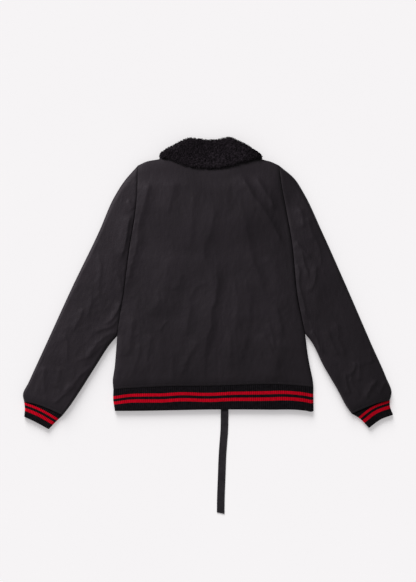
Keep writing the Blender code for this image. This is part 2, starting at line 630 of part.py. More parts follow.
def inset_outline(outline, depth):
    """The outline moved inwards, towards the fall's edge."""
    def edge(share):
        share = np.asarray(share, float)
        ahead = outline.at(np.clip(share + 0.01, 0, 1)) - outline.at(np.clip(share - 0.01, 0, 1))
        across = np.stack([ahead[..., 1], -ahead[..., 0]], axis=-1)
        across /= np.linalg.norm(across, axis=-1)[..., None]
        return outline.at(share)[..., :2] + across * depth
    return edge


def build_collar(pile):
    outline, fall = Path(COLLAR_OUTLINE), Path(FALL_EDGE)
    left_turn = outline.share(LEAF_KNOTS)
    right_turn = outline.share(len(COLLAR_OUTLINE) - 1 - LEAF_KNOTS - 0)
    u = np.concatenate([np.linspace(0, left_turn, 5), np.linspace(left_turn, right_turn, 17)[1:-1],
                        np.linspace(right_turn, 1, 5)])
    v = np.array([0, 0.035, 0.12, 0.35, 0.62, 0.8, 0.9, 0.965, 1])
    inner_line = inset_outline(outline, COLLAR_WALL)
    ends = [straight(fall.at(s)[:2], outline.at(s)[:2]) for s in (0.0, 1.0)]
    plan = patch(fall.at, outline.at, ends[0], ends[1], u, v)
    inner_ends = [straight(fall.at(s)[:2], inner_line(s)) for s in (0.0, 1.0)]
    inner_plan = patch(fall.at, inner_line, inner_ends[0], inner_ends[1], u, v)

    height = outline.at(u)[:, 2]
    length = np.linalg.norm(plan[-1] - plan[0], axis=-1)
    from_outline = (1 - v)[:, None] * length[None, :]
    turn = rounded(from_outline / 15.0)
    fall_edge = 1 - 0.66 * (1 - rounded(v[:, None] * length[None, :] / 7.0))
    under = panel_top(inner_plan) + COLLAR_CLEAR
    inner_turn = rounded(from_outline / 9.0)
    inner_top = height + (under - height) * inner_turn
    full = panel_top(plan) + COLLAR_CLEAR + COLLAR_WALL * fall_edge
    outer_top = height + (full - height) * turn
    fall_outer, fall_inner = with_height(plan, outer_top), with_height(inner_plan, inner_top)
    grids = [fall_outer, fall_inner, strip(fall_outer[0], fall_inner[0]),
             strip(fall_outer[:, 0], fall_inner[:, 0]), strip(fall_outer[:, -1], fall_inner[:, -1])]

    first, last = 4, len(u) - 5
    grids += stand_grids(fall_outer[-1, first + 1:last], fall_inner[-1, first + 1:last])
    grids += [strip(fall_outer[-1, k:k + 2], fall_inner[-1, k:k + 2]) for k in (first, last - 1)]
    grids += leaf_grids(-1, fall_outer[-1, :first + 1], fall_inner[-1, :first + 1])
    grids += leaf_grids(1, fall_outer[-1, last:], fall_inner[-1, last:])
    solid("collar", grids, [pile])


def stand_grids(outer_line, inner_line):
    """The back stand: from the fold at the top of the collar down to the neck seam."""
    v = np.array([0, 0.1, 0.25, 0.5, 1])
    x = np.linspace(NECK_CENTRE[0] - STAND_SIDE, NECK_CENTRE[0] + STAND_SIDE, len(outer_line))
    seam = Path(SHOULDERS)
    shares = np.interp(x, seam.points[:, 0], seam.along / seam.length)
    foot = seam.at(shares)[:, :2] + (0, SEAM_GAP)
    sheets = []
    for line, drop, reach in ((outer_line, STAND_WALL, 13.0), (inner_line, 0.0, 8.0)):
        shares = np.stack([np.sqrt(v), v], axis=-1)[:, None, :]
        plan = line[None, :, :2] + shares * (foot - line[:, :2])[None]
        length = np.linalg.norm(foot - line[:, :2], axis=-1)
        turn = rounded(v[:, None] * length[None, :] / reach)
        full = panel_top(plan) - drop - 0.3
        sheets.append(with_height(plan, line[None, :, 2] + (full - line[None, :, 2]) * turn))
    outer, inner = sheets
    return [outer, inner, strip(outer[-1], inner[-1]), strip(outer[:, 0], inner[:, 0]),
            strip(outer[:, -1], inner[:, -1])]


def leaf_grids(side, outer_line, inner_line):
    """A front leaf: from the fold at the neck's side to the collar's point, under a front."""
    if side > 0:
        outer_line, inner_line = outer_line[::-1], inner_line[::-1]
    u = np.linspace(0, 1, len(outer_line))
    v = np.array([0, 0.04, 0.1, 0.2, 0.36, 0.52, 0.68, 0.84, 0.96, 1])
    sheets = []
    for line, depth in ((outer_line, 0.0), (inner_line, COLLAR_WALL)):
        outer_side = Path([tuple(line[0, :2]), *leaf_path(side, LEAF_OUTER)])
        inner_side = Path([tuple(line[-1, :2]), *leaf_path(side, LEAF_INNER)])
        end = straight(outer_side.at(1.0), inner_side.at(1.0))
        start = lambda s, line=line: np.stack([np.interp(s, u, line[:, k]) for k in (0, 1)], axis=-1)
        plan = patch(start, end, outer_side.at, inner_side.at, u, v)
        run = np.linalg.norm(np.diff(plan, axis=0), axis=-1).cumsum(axis=0)
        run = np.vstack([np.zeros((1, len(u))), run])
        turn = rounded(run / (16.0 - depth))
        soft = np.maximum(1 - rounded((run[-1][None, :] - run) / 6.0),
                          (1 - rounded(np.minimum(u, 1 - u) / 0.09))[None, :])
        full = depth * 0.96 if depth else 2.4 * soft
        sheets.append(with_height(plan, line[None, :, 2] + (full - line[None, :, 2]) * turn))
    outer, inner = sheets
    return [outer, inner, strip(outer[-1], inner[-1]), strip(outer[:, 0], inner[:, 0]),
            strip(outer[:, -1], inner[:, -1])]


# ---------------------------------------------------------------- zip
def zip_x(y):
    """The zip's middle line."""
    share = (y - FRONT_EDGE_BOTTOM[1]) / (FRONT_EDGE_TOP[1] - FRONT_EDGE_BOTTOM[1])
    return FRONT_EDGE_BOTTOM[0] + share * (FRONT_EDGE_TOP[0] - FRONT_EDGE_BOTTOM[0])


def zip_bar(name, left, right, y_stops, rise, thick, finish):
    """A bar along the zip's middle line, following the fronts' height."""
    y = np.array(y_stops, float)
    centre = np.stack([zip_x(y), y], axis=-1)
    low = lift(centre) + TAPE_HEIGHT * gathered(y - FRONT_EDGE_BOTTOM[1]) + rise
    plan = np.stack([centre + (x, 0) for x in (left, right)], axis=1)
    sheets = (with_height(plan, height[:, None]) for height in (low + thick, low))
    return solid(name, wall(*sheets), [finish])


def build_zip(tape, metal):
    hem_bottom = HEM_EDGE[3][1] + 0.6
    lifted = [FRONT_EDGE_BOTTOM[1] - 2, -261.0, -254.0, -240.0, *np.linspace(76.0, 180.0, 8)]
    half = ZIP_GAP / 2 - SEAM_GAP
    rows = [hem_bottom, *lifted, ZIP_TOP]
    zip_bar("zip_tape_left", -half, -SEAM_GAP / 2, rows, 0, TAPE_WALL, tape)
    zip_bar("zip_tape_right", SEAM_GAP / 2, half, rows, 0, TAPE_WALL, tape)
    chain_top = SLIDER_TOP + SLIDER_Y[0] - 0.3
    zip_bar("zip_chain", -CHAIN_WIDTH / 2, CHAIN_WIDTH / 2, [hem_bottom + 1.0, *lifted, chain_top],
            -CHAIN_DROP - CHAIN_WALL, CHAIN_WALL, metal)
    build_slider(metal)
    build_pull(metal)


def blocks(name, x_stops, y_stops, z_stops, filled, finish):
    """One body from the filled cells of a small grid of blocks."""
    stops_of = (x_stops, y_stops, z_stops)
    counts = [len(one) - 1 for one in stops_of]
    bm = bmesh.new()
    corners = {}

    def corner(key):
        if key not in corners:
            corners[key] = bm.verts.new([stops_of[k][key[k]] * MM for k in range(3)])
        return corners[key]

    for cell in np.ndindex(*counts):
        for axis in range(3) if filled(*cell) else ():
            for side in (0, 1):
                beside = list(cell)
                beside[axis] += 2 * side - 1
                if 0 <= beside[axis] < counts[axis] and filled(*beside):
                    continue
                first, second = [k for k in range(3) if k != axis]
                loop = []
                for a, b in ((0, 0), (1, 0), (1, 1), (0, 1)):
                    key = list(cell)
                    key[axis] += side
                    key[first] += a
                    key[second] += b
                    loop.append(corner(tuple(key)))
                bm.faces.new(loop)
    bmesh.ops.recalc_face_normals(bm, faces=bm.faces)
    mesh = bpy.data.meshes.new(name)
    bm.to_mesh(mesh)
    bm.free()
    mesh.materials.append(finish)
    made = bpy.data.objects.new(name, mesh)
    bpy.context.scene.collection.objects.link(made)
    return made


def build_slider(metal):
    """The slider's plate, and under it the bridge that the pull turns on."""
    made = blocks("zip_slider", SLIDER_X, SLIDER_Y, SLIDER_Z, slider_filled, metal)
    at = np.array([zip_x(SLIDER_TOP), SLIDER_TOP])
    made.location = (at[0] * MM, at[1] * MM, lift(at) * MM)


def slider_filled(i, j, k):
    plate = k == 2
    bar = k == 0 and i == 1 and j > 0
    leg = k == 1 and i == 1 and j in (1, 3)
    return plate or bar or leg


def build_pull(metal):
    """The pull: a flat tab whose eye turns round the slider's bridge, its tip hanging down."""
    made = blocks("zip_pull", PULL_X, PULL_Y, (-PULL_THICK / 2, PULL_THICK / 2), pull_filled, metal)
    at = np.array([zip_x(SLIDER_TOP), SLIDER_TOP - HINGE_FROM_TOP])
    made.rotation_euler.x = math.radians(PULL_DROOP)
    made.location = (at[0] * MM, at[1] * MM, (lift(at) + PULL_THICK / 2) * MM)


def pull_filled(i, j, k):
    eye = i == 1 and j == 1
    return not eye


# ---------------------------------------------------------------- strap
def build_strap(webbing):
    """A flat strap: sewn to the front of the hem rib inside the hem, then lying on the floor."""
    line = Path(STRAP_ROUTE).at(np.linspace(0, 1, STRAP_STEPS + 1))
    ahead = np.gradient(line, axis=0)
    across = np.stack([-ahead[:, 1], ahead[:, 0]], axis=-1)
    across /= np.linalg.norm(across, axis=-1)[:, None]
    down = eased((STRAP_DROP[0] - line[:, 1]) / (STRAP_DROP[0] - STRAP_DROP[1]))
    low = STRAP_CLEAR + (1 - down) * RIB_WALL
    plan = line[:, None, :] + across[:, None, :] * np.array([-0.5, 0.5])[None, :, None] * STRAP_WIDTH
    lower, upper = (with_height(plan, (low + extra)[:, None]) for extra in (0, STRAP_WALL))
    solid("strap", wall(upper, lower), [webbing])


def main():
    for old in list(bpy.data.objects):
        bpy.data.objects.remove(old)
    cloth = material("shell cloth", CLOTH_BLACK, 0.62)
    rib = material("rib knit black", RIB_BLACK, 0.9)
    red = material("rib knit red", RIB_RED, 0.85)
    pile = material("curly pile", PILE_BLACK, 0.95)
    tape = material("zip tape", TAPE_BLACK, 0.85)
    metal = material("zip metal", METAL_GREY, 0.35, 1.0)
    build_back(cloth)
    build_front(-1, "front_left", cloth)
    build_front(1, "front_right", cloth)
    build_sleeve(-1, "sleeve_left", cloth)
    build_sleeve(1, "sleeve_right", cloth)
    build_cuff(-1, "cuff_left", rib, red)
    build_cuff(1, "cuff_right", rib, red)
    build_hem(rib, red)
    build_collar(pile)
    build_zip(tape, metal)
    build_strap(material("webbing", WEBBING_BLACK, 0.7))


main()
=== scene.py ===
"""The looks of a bomber jacket that lies flat on its front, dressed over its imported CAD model.

Plans and heights are in millimetres in the model's frame: Z up, collar towards +Y, the jacket on
z = 0.  Each piece of cloth is a closed wall whose plan is a patch between four smooth edges.  The
layers are those of the solids, and the edges follow theirs within a few millimetres, but for the
collar's stand, which is wider.  The meshes are finer and have more folds, and they add wrinkles,
seam puckers, ribs, stitches, zip teeth and curly pile.
"""

import math

import bmesh
import bpy
import numpy as np
from mathutils.kdtree import KDTree
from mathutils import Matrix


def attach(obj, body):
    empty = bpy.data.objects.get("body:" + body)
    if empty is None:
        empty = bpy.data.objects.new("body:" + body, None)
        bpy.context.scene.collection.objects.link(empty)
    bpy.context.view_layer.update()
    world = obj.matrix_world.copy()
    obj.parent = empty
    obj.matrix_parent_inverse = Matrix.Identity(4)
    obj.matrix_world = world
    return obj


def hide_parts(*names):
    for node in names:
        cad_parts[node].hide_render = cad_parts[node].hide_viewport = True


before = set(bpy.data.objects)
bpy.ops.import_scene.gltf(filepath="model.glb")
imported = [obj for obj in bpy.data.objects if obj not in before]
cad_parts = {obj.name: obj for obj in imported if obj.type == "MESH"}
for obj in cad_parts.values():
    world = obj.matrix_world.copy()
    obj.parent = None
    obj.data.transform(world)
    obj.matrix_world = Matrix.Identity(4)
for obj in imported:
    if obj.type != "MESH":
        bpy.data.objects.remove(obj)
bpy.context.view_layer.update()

MM = 0.001
BODY = "jacket"
LEFT, RIGHT = -1, 1         # the sides as they are seen from above
SIDES = {LEFT: "left", RIGHT: "right"}

# ---------------------------------------------------------------- sizes (mm)
BACK_SIZE = (500, 600)      # rough sizes, across and along, for the number of points
FRONT_WIDTH = 250
SLEEVE_SIZE = (300, 600)
BACK_SPARE = (0.018, 0.005)     # the cloth cut too large, across and along, for its creases
SLEEVE_SPARE = (0.008, 0.008)
HEM_WIDTH = 520
SEAM_GAP = 0.12
SHELL_WALL = 7.0
LAYER_GAP = 0.6             # between the fronts and the back, which lie on each other
BACK_PUFF = 3.2
SLEEVE_PUFF = 2.6
RIM = 1.3                   # what is left of a wall's height at its rounded edge
SIDE_ROUND = 17.0
ARMHOLE_ROUND = 11.5
SHARE_ROUND = 0.058         # the rounding of a sleeve's sides and the shoulders, as a share
# How far the upper side falls towards an edge, as a share of its height.
SIDE_DROP = 0.85
ARMHOLE_DROP = {LEFT: 0.02, RIGHT: 0.70}
SLEEVE_DROP = {LEFT: 0.34, RIGHT: 0.22}
SLEEVE_DROP_REACH = {LEFT: 11.0, RIGHT: 12.0}
UNDERARM_SHARE = 0.24       # where the underarm is, along the body's side
UNDERARM_EASE = 0.03
GATHER_DEPTH = 24.0         # the cloth is pressed flat this far from a rib
GATHER_SHARE = 0.40
TOP_GATHER_SHARE = 0.19
RIB_WALL = 3.4
RIB_RAISE = 0.9
HEM_SLIT = 2.5              # between the hem's two layers
CUFF_SLIT = 1.6
SLEEVE_SLIT = 1.6
HEM_RIBS = 104
CUFF_RIBS = 20
RIB_POINTS = 8              # across each rib
EVEN_ROWS = 13              # of plan points, before a rib's rows follow its courses
HEM_STRIPES = (0.266, 0.392, 0.514, 0.648)      # the two stripes' edges, as shares from the seam
CUFF_STRIPES = (21.4, 15.1, 8.1, 0.0)           # the same in mm, above the cuff's plain margin
CUFF_MARGIN = {LEFT: 15.6, RIGHT: 17.7}
CUFF_MARK_LEAST = 0.015     # a stripe keeps at least this share of a cuff from its seam
HEM_STEPS = (6, 3, 3, 3, 7)                     # rows of faces in each plain part and stripe
CUFF_STEPS = (4, 3, 3, 4, 6)
COLLAR_WALL = 7.5
STAND_WALL = 6.0
COLLAR_LIFT = COLLAR_WALL + 0.5     # the fronts lie on the collar's leaves
COLLAR_CLEAR = 0.9
COLLAR_EASE = 40.0          # the back's folds fade in over this distance from the collar
NECK_CENTRE = (8.0, 330.0)
LIFT_INNER = 152.0
LIFT_OUTER = 252.0
LIFT_SLACK = 16.0
NECK_SAG = 11.0             # how far the back sinks where no front lies under it
NECK_SAG_CENTRE = (8.0, 350.0)
NECK_SAG_REACH = (52.0, 40.0)
STAND_SIDE = 103.0          # half the stand's width at its foot
STAND_SKIP = 2              # columns left free between the stand and each leaf
ZIP_GAP = 14.0              # between the two front edges
TAPE_HEIGHT = 4.2
CHAIN_DROP = 0.3
SLIDER_FOOT = 218.0
STRAP_WIDTH = 20.0
STRAP_WALL = 1.5
STRAP_CLEAR = 0.35
STRAP_STEPS = 150
# Half of the webbing's section: places across its width, and their share of its thickness.
STRAP_ACROSS = [-0.5, -0.492, -0.47, -0.44, -0.40, -0.36, -0.2]
STRAP_RISE = [0.5, 0.72, 0.93, 1.0, 0.95, 0.84, 0.82]
STRAP_MIDDLE = 0.84

# ---------------------------------------------------------------- plan of the edges (x, y)
SIDE_SEAM = {
    LEFT: [(-245.7, -274.3), (-247.2, -251), (-243.1, -225), (-239.2, -183), (-235.8, -136.5)],
    RIGHT: [(273.8, -269.1), (271.9, -251), (266.5, -225), (258.7, -183), (252.2, -131.3)],
}
ARMHOLE = {
    LEFT: [(-235.8, -136.5), (-230, -95), (-218.7, -26), (-202, 98), (-189, 178), (-183.6, 230),
           (-182, 305.5)],
    RIGHT: [(252.2, -131.3), (245.7, -100), (234, -43), (216.8, 115), (202.8, 191), (190.5, 256),
            (184.6, 305.5)],
}
HEM_SEAM = [(-245.7, -274.3), (-203, -271.7), (-125, -267.8), (5, -265.7), (213, -263.1), (252, -266.3),
            (273.8, -269.1)]
HEM_EDGE = [(-241.8, -330.9), (-180, -330.6), (-90, -329), (9, -327.2), (160, -327.6), (240, -328.8),
            (258, -331), (268, -333), (274.3, -330.8)]
HEM_SIDE = {
    LEFT: [(-245.7, -274.3), (-246.3, -300), (-241.8, -330.9)],
    RIGHT: [(273.8, -269.1), (273.9, -300), (274.3, -330.8)],
}
SHOULDERS = [(-182, 305.5), (-158.6, 315.9), (-124, 322.5), (-110, 327), (-96, 327.5), (-45, 321),
             (8, 318.5), (61, 321), (110, 328), (127, 327.5), (139, 321.5), (161.2, 315.9), (184.6, 305.5)]
SLEEVE_OUTER = {
    LEFT: [(-182, 305.5), (-218.4, 263.9), (-244.4, 222.3), (-280.8, 139.1), (-351, -6.5),
           (-422.5, -162.5), (-465.4, -256.1), (-480.5, -289.9), (-477.4, -306.8)],
    RIGHT: [(184.6, 305.5), (226, 270), (250, 232), (293.8, 139.1), (358.8, -6.5), (426.4, -162.5),
            (462, -243), (476.4, -284), (472.4, -302.9)],
}
SLEEVE_INNER = {
    LEFT: [(-235.8, -136.5), (-251.5, -154.5), (-291.2, -214.5), (-330.2, -276), (-358.8, -318.5),
           (-377, -341.9)],
    RIGHT: [(252.2, -131.3), (264.5, -146), (300.3, -214.5), (336.7, -276.9), (362.5, -324),
            (373.1, -338)],
}
CUFF_SEAM = {
    LEFT: [(-477.4, -306.8), (-448, -312.5), (-412, -325.5), (-377, -341.9)],
    RIGHT: [(472.4, -302.9), (440, -310), (404, -324), (373.1, -338)],
}
CUFF_EDGE = {
    LEFT: [(-477.4, -345.8), (-448, -359.5), (-413.4, -378.3)],
    RIGHT: [(480.7, -340.6), (449, -352.5), (417.8, -375)],
}
CUFF_OUTER = {
    LEFT: [(-477.4, -306.8), (-475.8, -325), (-477.4, -345.8)],
    RIGHT: [(472.4, -302.9), (472.6, -318), (480.7, -340.6)],
}
CUFF_INNER = {
    LEFT: [(-377, -341.9), (-396.2, -360.1), (-413.4, -378.3)],
    RIGHT: [(373.1, -338), (394, -350.5), (417.8, -375)],
}
# The collar's outer line as it lies, with its height, from one leaf over the back to the other.
COLLAR_OUTLINE = [(-125, 330, 15), (-121, 338.5, 15.5), (-111, 346.5, 16.5), (-88.4, 358, 18),
                  (-70.2, 367.9, 18), (-48.9, 376.4, 16), (-20.8, 373.8, 13.5), (9.4, 372, 12.5),
                  (33.8, 374.6, 13.5), (58.5, 378.2, 16), (83.2, 367, 18), (103, 356.8, 18),
                  (119, 345.8, 16.5), (132.5, 337.2, 15.5), (139.5, 329, 15)]
LEAF_KNOTS = 3              # the outline's first and last knots, where it turns into a leaf
FALL_EDGE = [(-122, 325), (-104, 322.6), (-81, 312.6), (-57, 303.2), (-31, 298.8), (9.4, 297.6),
             (49.1, 301.2), (88.9, 312.6), (116, 321.2), (129, 324.6), (136.5, 324.6)]
# A leaf's sides and a front's neck edge, from the neck's middle; the other side is mirrored.
LEAF_OUTER = [(-136, -30), (-126, -68), (-103, -102), (-80, -130)]
LEAF_INNER = [(-99.5, 5), (-93, -30), (-62, -62), (-8, -76)]
FRONT_NECK = [(-106, -1.5), (-95, -30), (-62, -72), (-24, -92)]
FRONT_EDGE_TOP = (8.0, 236.0)
FRONT_EDGE_BOTTOM = (13.6, -265.0)
STRAP_ROUTE = [(43, -300), (43.2, -314), (43.3, -326), (43.2, -336), (43, -348), (42.9, -362),
               (42.2, -384), (40.2, -410), (38, -440), (36.6, -470), (35.6, -500), (34.4, -530),
               (33.4, -560), (33, -597)]
STRAP_DROP = (-331.0, -362.0)       # where it comes down from the hem to the floor

# ---------------------------------------------------------------- folds and wrinkles
# A ridge along a line of plan points: seen from its first point, it falls over "steep" on its
# left and over "wide" on its right.
FOLD_COLUMNS = ("height", "wide", "steep", "line")
BACK_FOLDS = [
    (4.6, 160, 13, ((-155, 274), (-160, 244), (-169, 191), (-186, 113), (-197, 56), (-207, 9), (-219, -60))),
    (1.6, 30, 11, ((-84, 268), (-92, 240), (-108, 170))),
    (1.4, 30, 12, ((-42, 250), (-48, 70))),
    (2.6, 35, 13, ((11, 235), (5, 139), (-8, 98), (2, 20))),
    (4.3, 42, 13, ((20, 80), (19, -27), (6, -95), (-2, -152), (-16, -262))),
    (2.2, 22, 20, ((78, 40), (70, -100), (48, -225))),
    (0.7, 9, 5, ((6, 10), (-31, -12), (-58, -66))),
    (1.5, 12, 7, ((-16, -138), (-47, -188), (-66, -245))),
    (0.7, 6, 4, ((-104, -94), (-126, -124))),
    (1.4, 18, 10, ((-45, -40), (-57, -140))),
    (3.7, 20, 9, ((74, 300), (88, 280), (110, 238), (146, 190), (178, 132), (200, 84))),
    (3.0, 10, 8, ((116, 288), (150, 233), (180, 184))),
    (2.4, 30, 12, ((86, 205), (100, 118), (114, 71), (132, 24), (158, -50))),
    (1.8, 16, 14, ((156, 80), (192, -30))),
    (1.8, 24, 13, ((100, 30), (112, -110))),
    (1.5, 14, 6, ((174, -50), (184, -92), (196, -146))),
    (1.5, 14, 7, ((138, -122), (156, -164), (190, -222))),
    (1.2, 10, 6, ((152, -98), (166, -136), (172, -178))),
    (2.6, 40, 26, ((192, -140), (165, -258))),
    (2.4, 45, 45, ((-100, 90), (-118, -90))),
    (1.6, 16, 8, ((-192, -84), (-200, -130), (-212, -190))),
    (1.3, 16, 7, ((-144, -128), (-152, -176), (-166, -242))),
    (1.0, 12, 6, ((-176, -150), (-184, -196), (-196, -246))),
    (1.3, 18, 9, ((98, -120), (80, -222))),
    (1.2, 14, 8, ((-120, -30), (-150, -90))),
    (1.0, 12, 7, ((-70, 30), (-84, -20))),
]
SLEEVE_FOLDS = {
    LEFT: [
        (2.8, 16, 6, ((-198, 182), (-212, 124), (-226, 58))),
        (1.3, 10, 5, ((-204, 216), (-190, 188))),
        (0.9, 12, 6, ((-283, 90), (-280, 14), (-285, -50))),
        (0.9, 8, 6, ((-246, 38), (-225, 9), (-222, -20))),
        (2.0, 10, 5, ((-222, -40), (-239, -84), (-270, -110))),
        (1.7, 10, 5, ((-226, -88), (-254, -112), (-296, -132))),
        (1.4, 10, 6, ((-236, -122), (-281, -152), (-320, -197))),
        (1.1, 10, 6, ((-258, -150), (-296, -178), (-342, -208))),
        (1.1, 14, 7, ((-372, -126), (-366, -166), (-368, -214))),
        (1.1, 12, 6, ((-326, -62), (-334, -92), (-346, -132))),
        (1.0, 12, 6, ((-300, -20), (-306, -60), (-318, -96))),
        (0.9, 14, 8, ((-385, -214), (-388, -277))),
        (1.3, 10, 5, ((-344, -262), (-372, -290), (-402, -314))),
        (1.3, 10, 6, ((-306, -214), (-338, -246), (-372, -286))),
        (1.0, 12, 6, ((-418, -212), (-424, -250), (-420, -290))),
        (1.3, 30, 30, ((-300, 120), (-330, 20))),
    ],
    RIGHT: [
        (2.1, 9, 11, ((236, 204), (246, 136))),
        (1.5, 14, 9, ((255, 178), (276, 110))),
        (1.5, 9, 5, ((226, 112), (246, 84), (268, 62))),
        (1.6, 8, 5, ((240, 86), (248, 50), (262, 8))),
        (1.5, 7, 5, ((229, 52), (236, 16), (244, -32))),
        (1.3, 9, 5, ((284, 44), (276, 14), (258, -30))),
        (1.5, 7, 5, ((244, -10), (249, -50), (258, -100))),
        (1.2, 9, 6, ((268, 128), (284, 92), (296, 40))),
        (1.7, 26, 26, ((275, 60), (281, -96))),
        (1.3, 14, 7, ((326, -96), (338, -140), (354, -196))),
        (1.3, 14, 7, ((304, -116), (316, -150), (336, -192))),
        (1.5, 10, 5, ((266, -122), (280, -146), (300, -190))),
        (1.2, 10, 6, ((284, -160), (306, -190), (334, -214))),
        (1.6, 9, 7, ((385, -202), (363, -243))),
        (1.3, 9, 7, ((396, -196), (390, -258))),
        (2.1, 10, 6, ((443, -243), (421, -271), (405, -300))),
        (1.3, 8, 6, ((458, -254), (441, -289))),
        (1.2, 8, 5, ((366, -236), (380, -262), (396, -300))),
        (1.2, 8, 5, ((352, -228), (360, -262), (372, -292))),
        (1.3, 12, 7, ((420, -165), (424, -206))),
    ],
}
SLEEVE_FOLD_GAIN = 1.2
FOLD_SHAPE = 1.45           # the power in a ridge's profile
FOLD_FADE = 0.22            # the share of its length over which each end fades out
# How far the worn knit's rows stray from an even course: places from side to side, and shares of
# the rib.
HEM_COURSE = [(-242, 0.051), (-205, -0.012), (-160, -0.003), (-120, 0.014), (-70, -0.016), (2, 0.028),
              (62, 0.002), (110, 0.008), (150, 0.004), (190, -0.017), (222, -0.016), (274, 0.013)]
# Random wrinkles: how wide and long one is, and how high the highest are.
WRINKLE_COLUMNS = ("width", "length", "height")
WRINKLES = [(46, 150, 0.9), (20, 70, 0.6), (9, 15, 0.36), (4.5, 7, 0.12)]
BACK_LEAN = -4.0            # of the wrinkles, in degrees from +Y towards +X
FRONT_LEAN = 3.0
SLEEVE_LEAN = 26.0
PUCKER_PITCH = 13.0         # of the small gathers along a seam
PUCKER_REACH = 26.0
PUCKER_HEIGHT = 0.55
GRID_STEP = 2.3             # between the points of the seen cloth
UNDER_STEP = 5              # every so many of them on its hidden side

STITCH_ABOVE = 6.0          # of the topstitching over a rib's seam
STITCH_DEPTH = 0.5
STITCH_FURROW = 1.8         # the width of the furrow that it pulls
STITCH_LENGTH = 2.6
STITCH_PITCH = 3.6
STITCH_RADIUS = 0.28
TOOTH_PITCH = 2.5
TOOTH_RADIUS = 0.72
TOOTH_SINK = 0.9
TOOTH_REACH = (2.4, 0.9)    # of a tooth, on its own side and past the middle line
CURL_COUNT = 3300
CURL_RADIUS = 2.2
CURL_WIRE = 0.58
CURL_STEPS = 8
TUFT_REACH = 3.6
TUFT_HEIGHT = 1.7

# ---------------------------------------------------------------- photograph, camera and light
PHOTO = (416, 582)
PX = 2.6                    # one pixel of the photograph on the jacket, in mm
VIEW_CENTRE = (0.0, -19.5)
LENS = 110.0
SENSOR = 36.0
KEY_PLACE = (-1.9, 1.35, 1.55)
KEY_POWER = 102.0
KEY_SIZE = 1.1
KEY_COLOUR = (1.0, 0.91, 0.98)
AROUND = 0.32
SKY_PLACE = (-0.2, 0.95, 0.47)      # the direction of the floor's own light, from the collar's side
SKY_POWER = 3.4
SKY_ANGLE = math.radians(36.0)
FLOOR_GLOW = (0.289, 0.279, 0.285, 1)
FLOOR_REACH = 12000.0       # mm


# ---------------------------------------------------------------- curves and patches
class Path:
    """A smooth curve through its knots, followed by arc length from 0 to 1."""

    FINE = 12

    def __init__(self, knots):
        knots = np.array(knots, float)
        steps = np.linalg.norm(np.diff(knots[:, :2], axis=0), axis=1)
        slopes = np.diff(knots, axis=0) / steps[:, None]
        weight = (steps[1:] / (steps[1:] + steps[:-1]))[:, None]
        middle = weight * slopes[:-1] + (1 - weight) * slopes[1:]
        tangents = np.vstack([slopes[:1], middle, slopes[-1:]])
        points = [knots[:1]]
        t = (np.arange(1, self.FINE + 1) / self.FINE)[:, None]
        for i, step in enumerate(steps):
            points.append((2 * t**3 - 3 * t**2 + 1) * knots[i] + (t**3 - 2 * t**2 + t) * step * tangents[i]
                          + (3 * t**2 - 2 * t**3) * knots[i + 1] + (t**3 - t**2) * step * tangents[i + 1])
        self.points = np.vstack(points)
        along = np.linalg.norm(np.diff(self.points[:, :2], axis=0), axis=1)
        self.along = np.concatenate([[0], np.cumsum(along)])
        self.length = self.along[-1]

    def share(self, knot):
        return self.along[knot * self.FINE] / self.length

    def at(self, share):
        where = np.asarray(share, float) * self.length
        return np.stack([np.interp(where, self.along, column) for column in self.points.T], axis=-1)


def part_of(path, start, end):
    return lambda share: path.at(start + (end - start) * np.asarray(share, float))


def moved(edge, dx, dy):
    return lambda share: edge(share)[..., :2] + (dx, dy)


def pinned(path, dx, dy):
    """The path moved at its start and left in its place at its end."""
    return lambda share: path.at(share) + np.array((dx, dy)) * (1 - np.asarray(share))[..., None]


def straight(start, end):
    start, end = np.array(start, float), np.array(end, float)
    return lambda share: start + np.asarray(share, float)[..., None] * (end - start)


def along_points(stops, points):
    """Places along a line of points, of which each one lies at its own stop."""
    return lambda where: np.stack([np.interp(where, stops, column) for column in points.T], axis=-1)


def body_edge(side):
    """Side seam then armhole as one edge; the underarm is at UNDERARM_SHARE."""
    seam, armhole = Path(SIDE_SEAM[side]), Path(ARMHOLE[side])

    def edge(share):
        share = np.asarray(share, float)
        low = seam.at(np.clip(share / UNDERARM_SHARE, 0, 1))
        high = armhole.at(np.clip((share - UNDERARM_SHARE) / (1 - UNDERARM_SHARE), 0, 1))
        return np.where((share < UNDERARM_SHARE)[..., None], low, high)

    return edge


def neck_path(side, offsets):
    """Plan points from their offsets from the neck's middle, mirrored for the right side."""
    return [(NECK_CENTRE[0] + side * -x, NECK_CENTRE[1] + y) for x, y in offsets]


def patch(bottom, top, left, right, u, v):
    """Plan points of the patch between four edges, as rows (v) of columns (u)."""
    u, v = np.array(u, float), np.array(v, float)
    across, up = u[None, :, None], v[:, None, None]
    corners = [edge(np.array([0.0, 1.0]))[..., :2] for edge in (bottom, top)]
    flat = ((1 - across) * (1 - up) * corners[0][0] + across * (1 - up) * corners[0][1]
            + (1 - across) * up * corners[1][0] + across * up * corners[1][1])
    return ((1 - up) * bottom(u)[None, :, :2] + up * top(u)[None, :, :2]
            + (1 - across) * left(v)[:, None, :2] + across * right(v)[:, None, :2] - flat)


def run_along(plan):
    """The distance along each column of plan points, from its first row to each row."""
    run = np.linalg.norm(np.diff(plan, axis=0), axis=-1).cumsum(axis=0)
    return np.vstack([np.zeros((1, plan.shape[1])), run])


def fine_stops(length, start=0.0, end=1.0):
    """Even shares of an edge of this length, with finer ones at both ends."""
    count = max(4, int(length * (end - start) / GRID_STEP))
    near = np.array([0, 0.06, 0.2, 0.45, 0.8]) / count
    middle = np.arange(1.3, count - 1.2) / count
    shares = np.concatenate([near, middle, 1 - near[::-1]])
    return start + (end - start) * shares


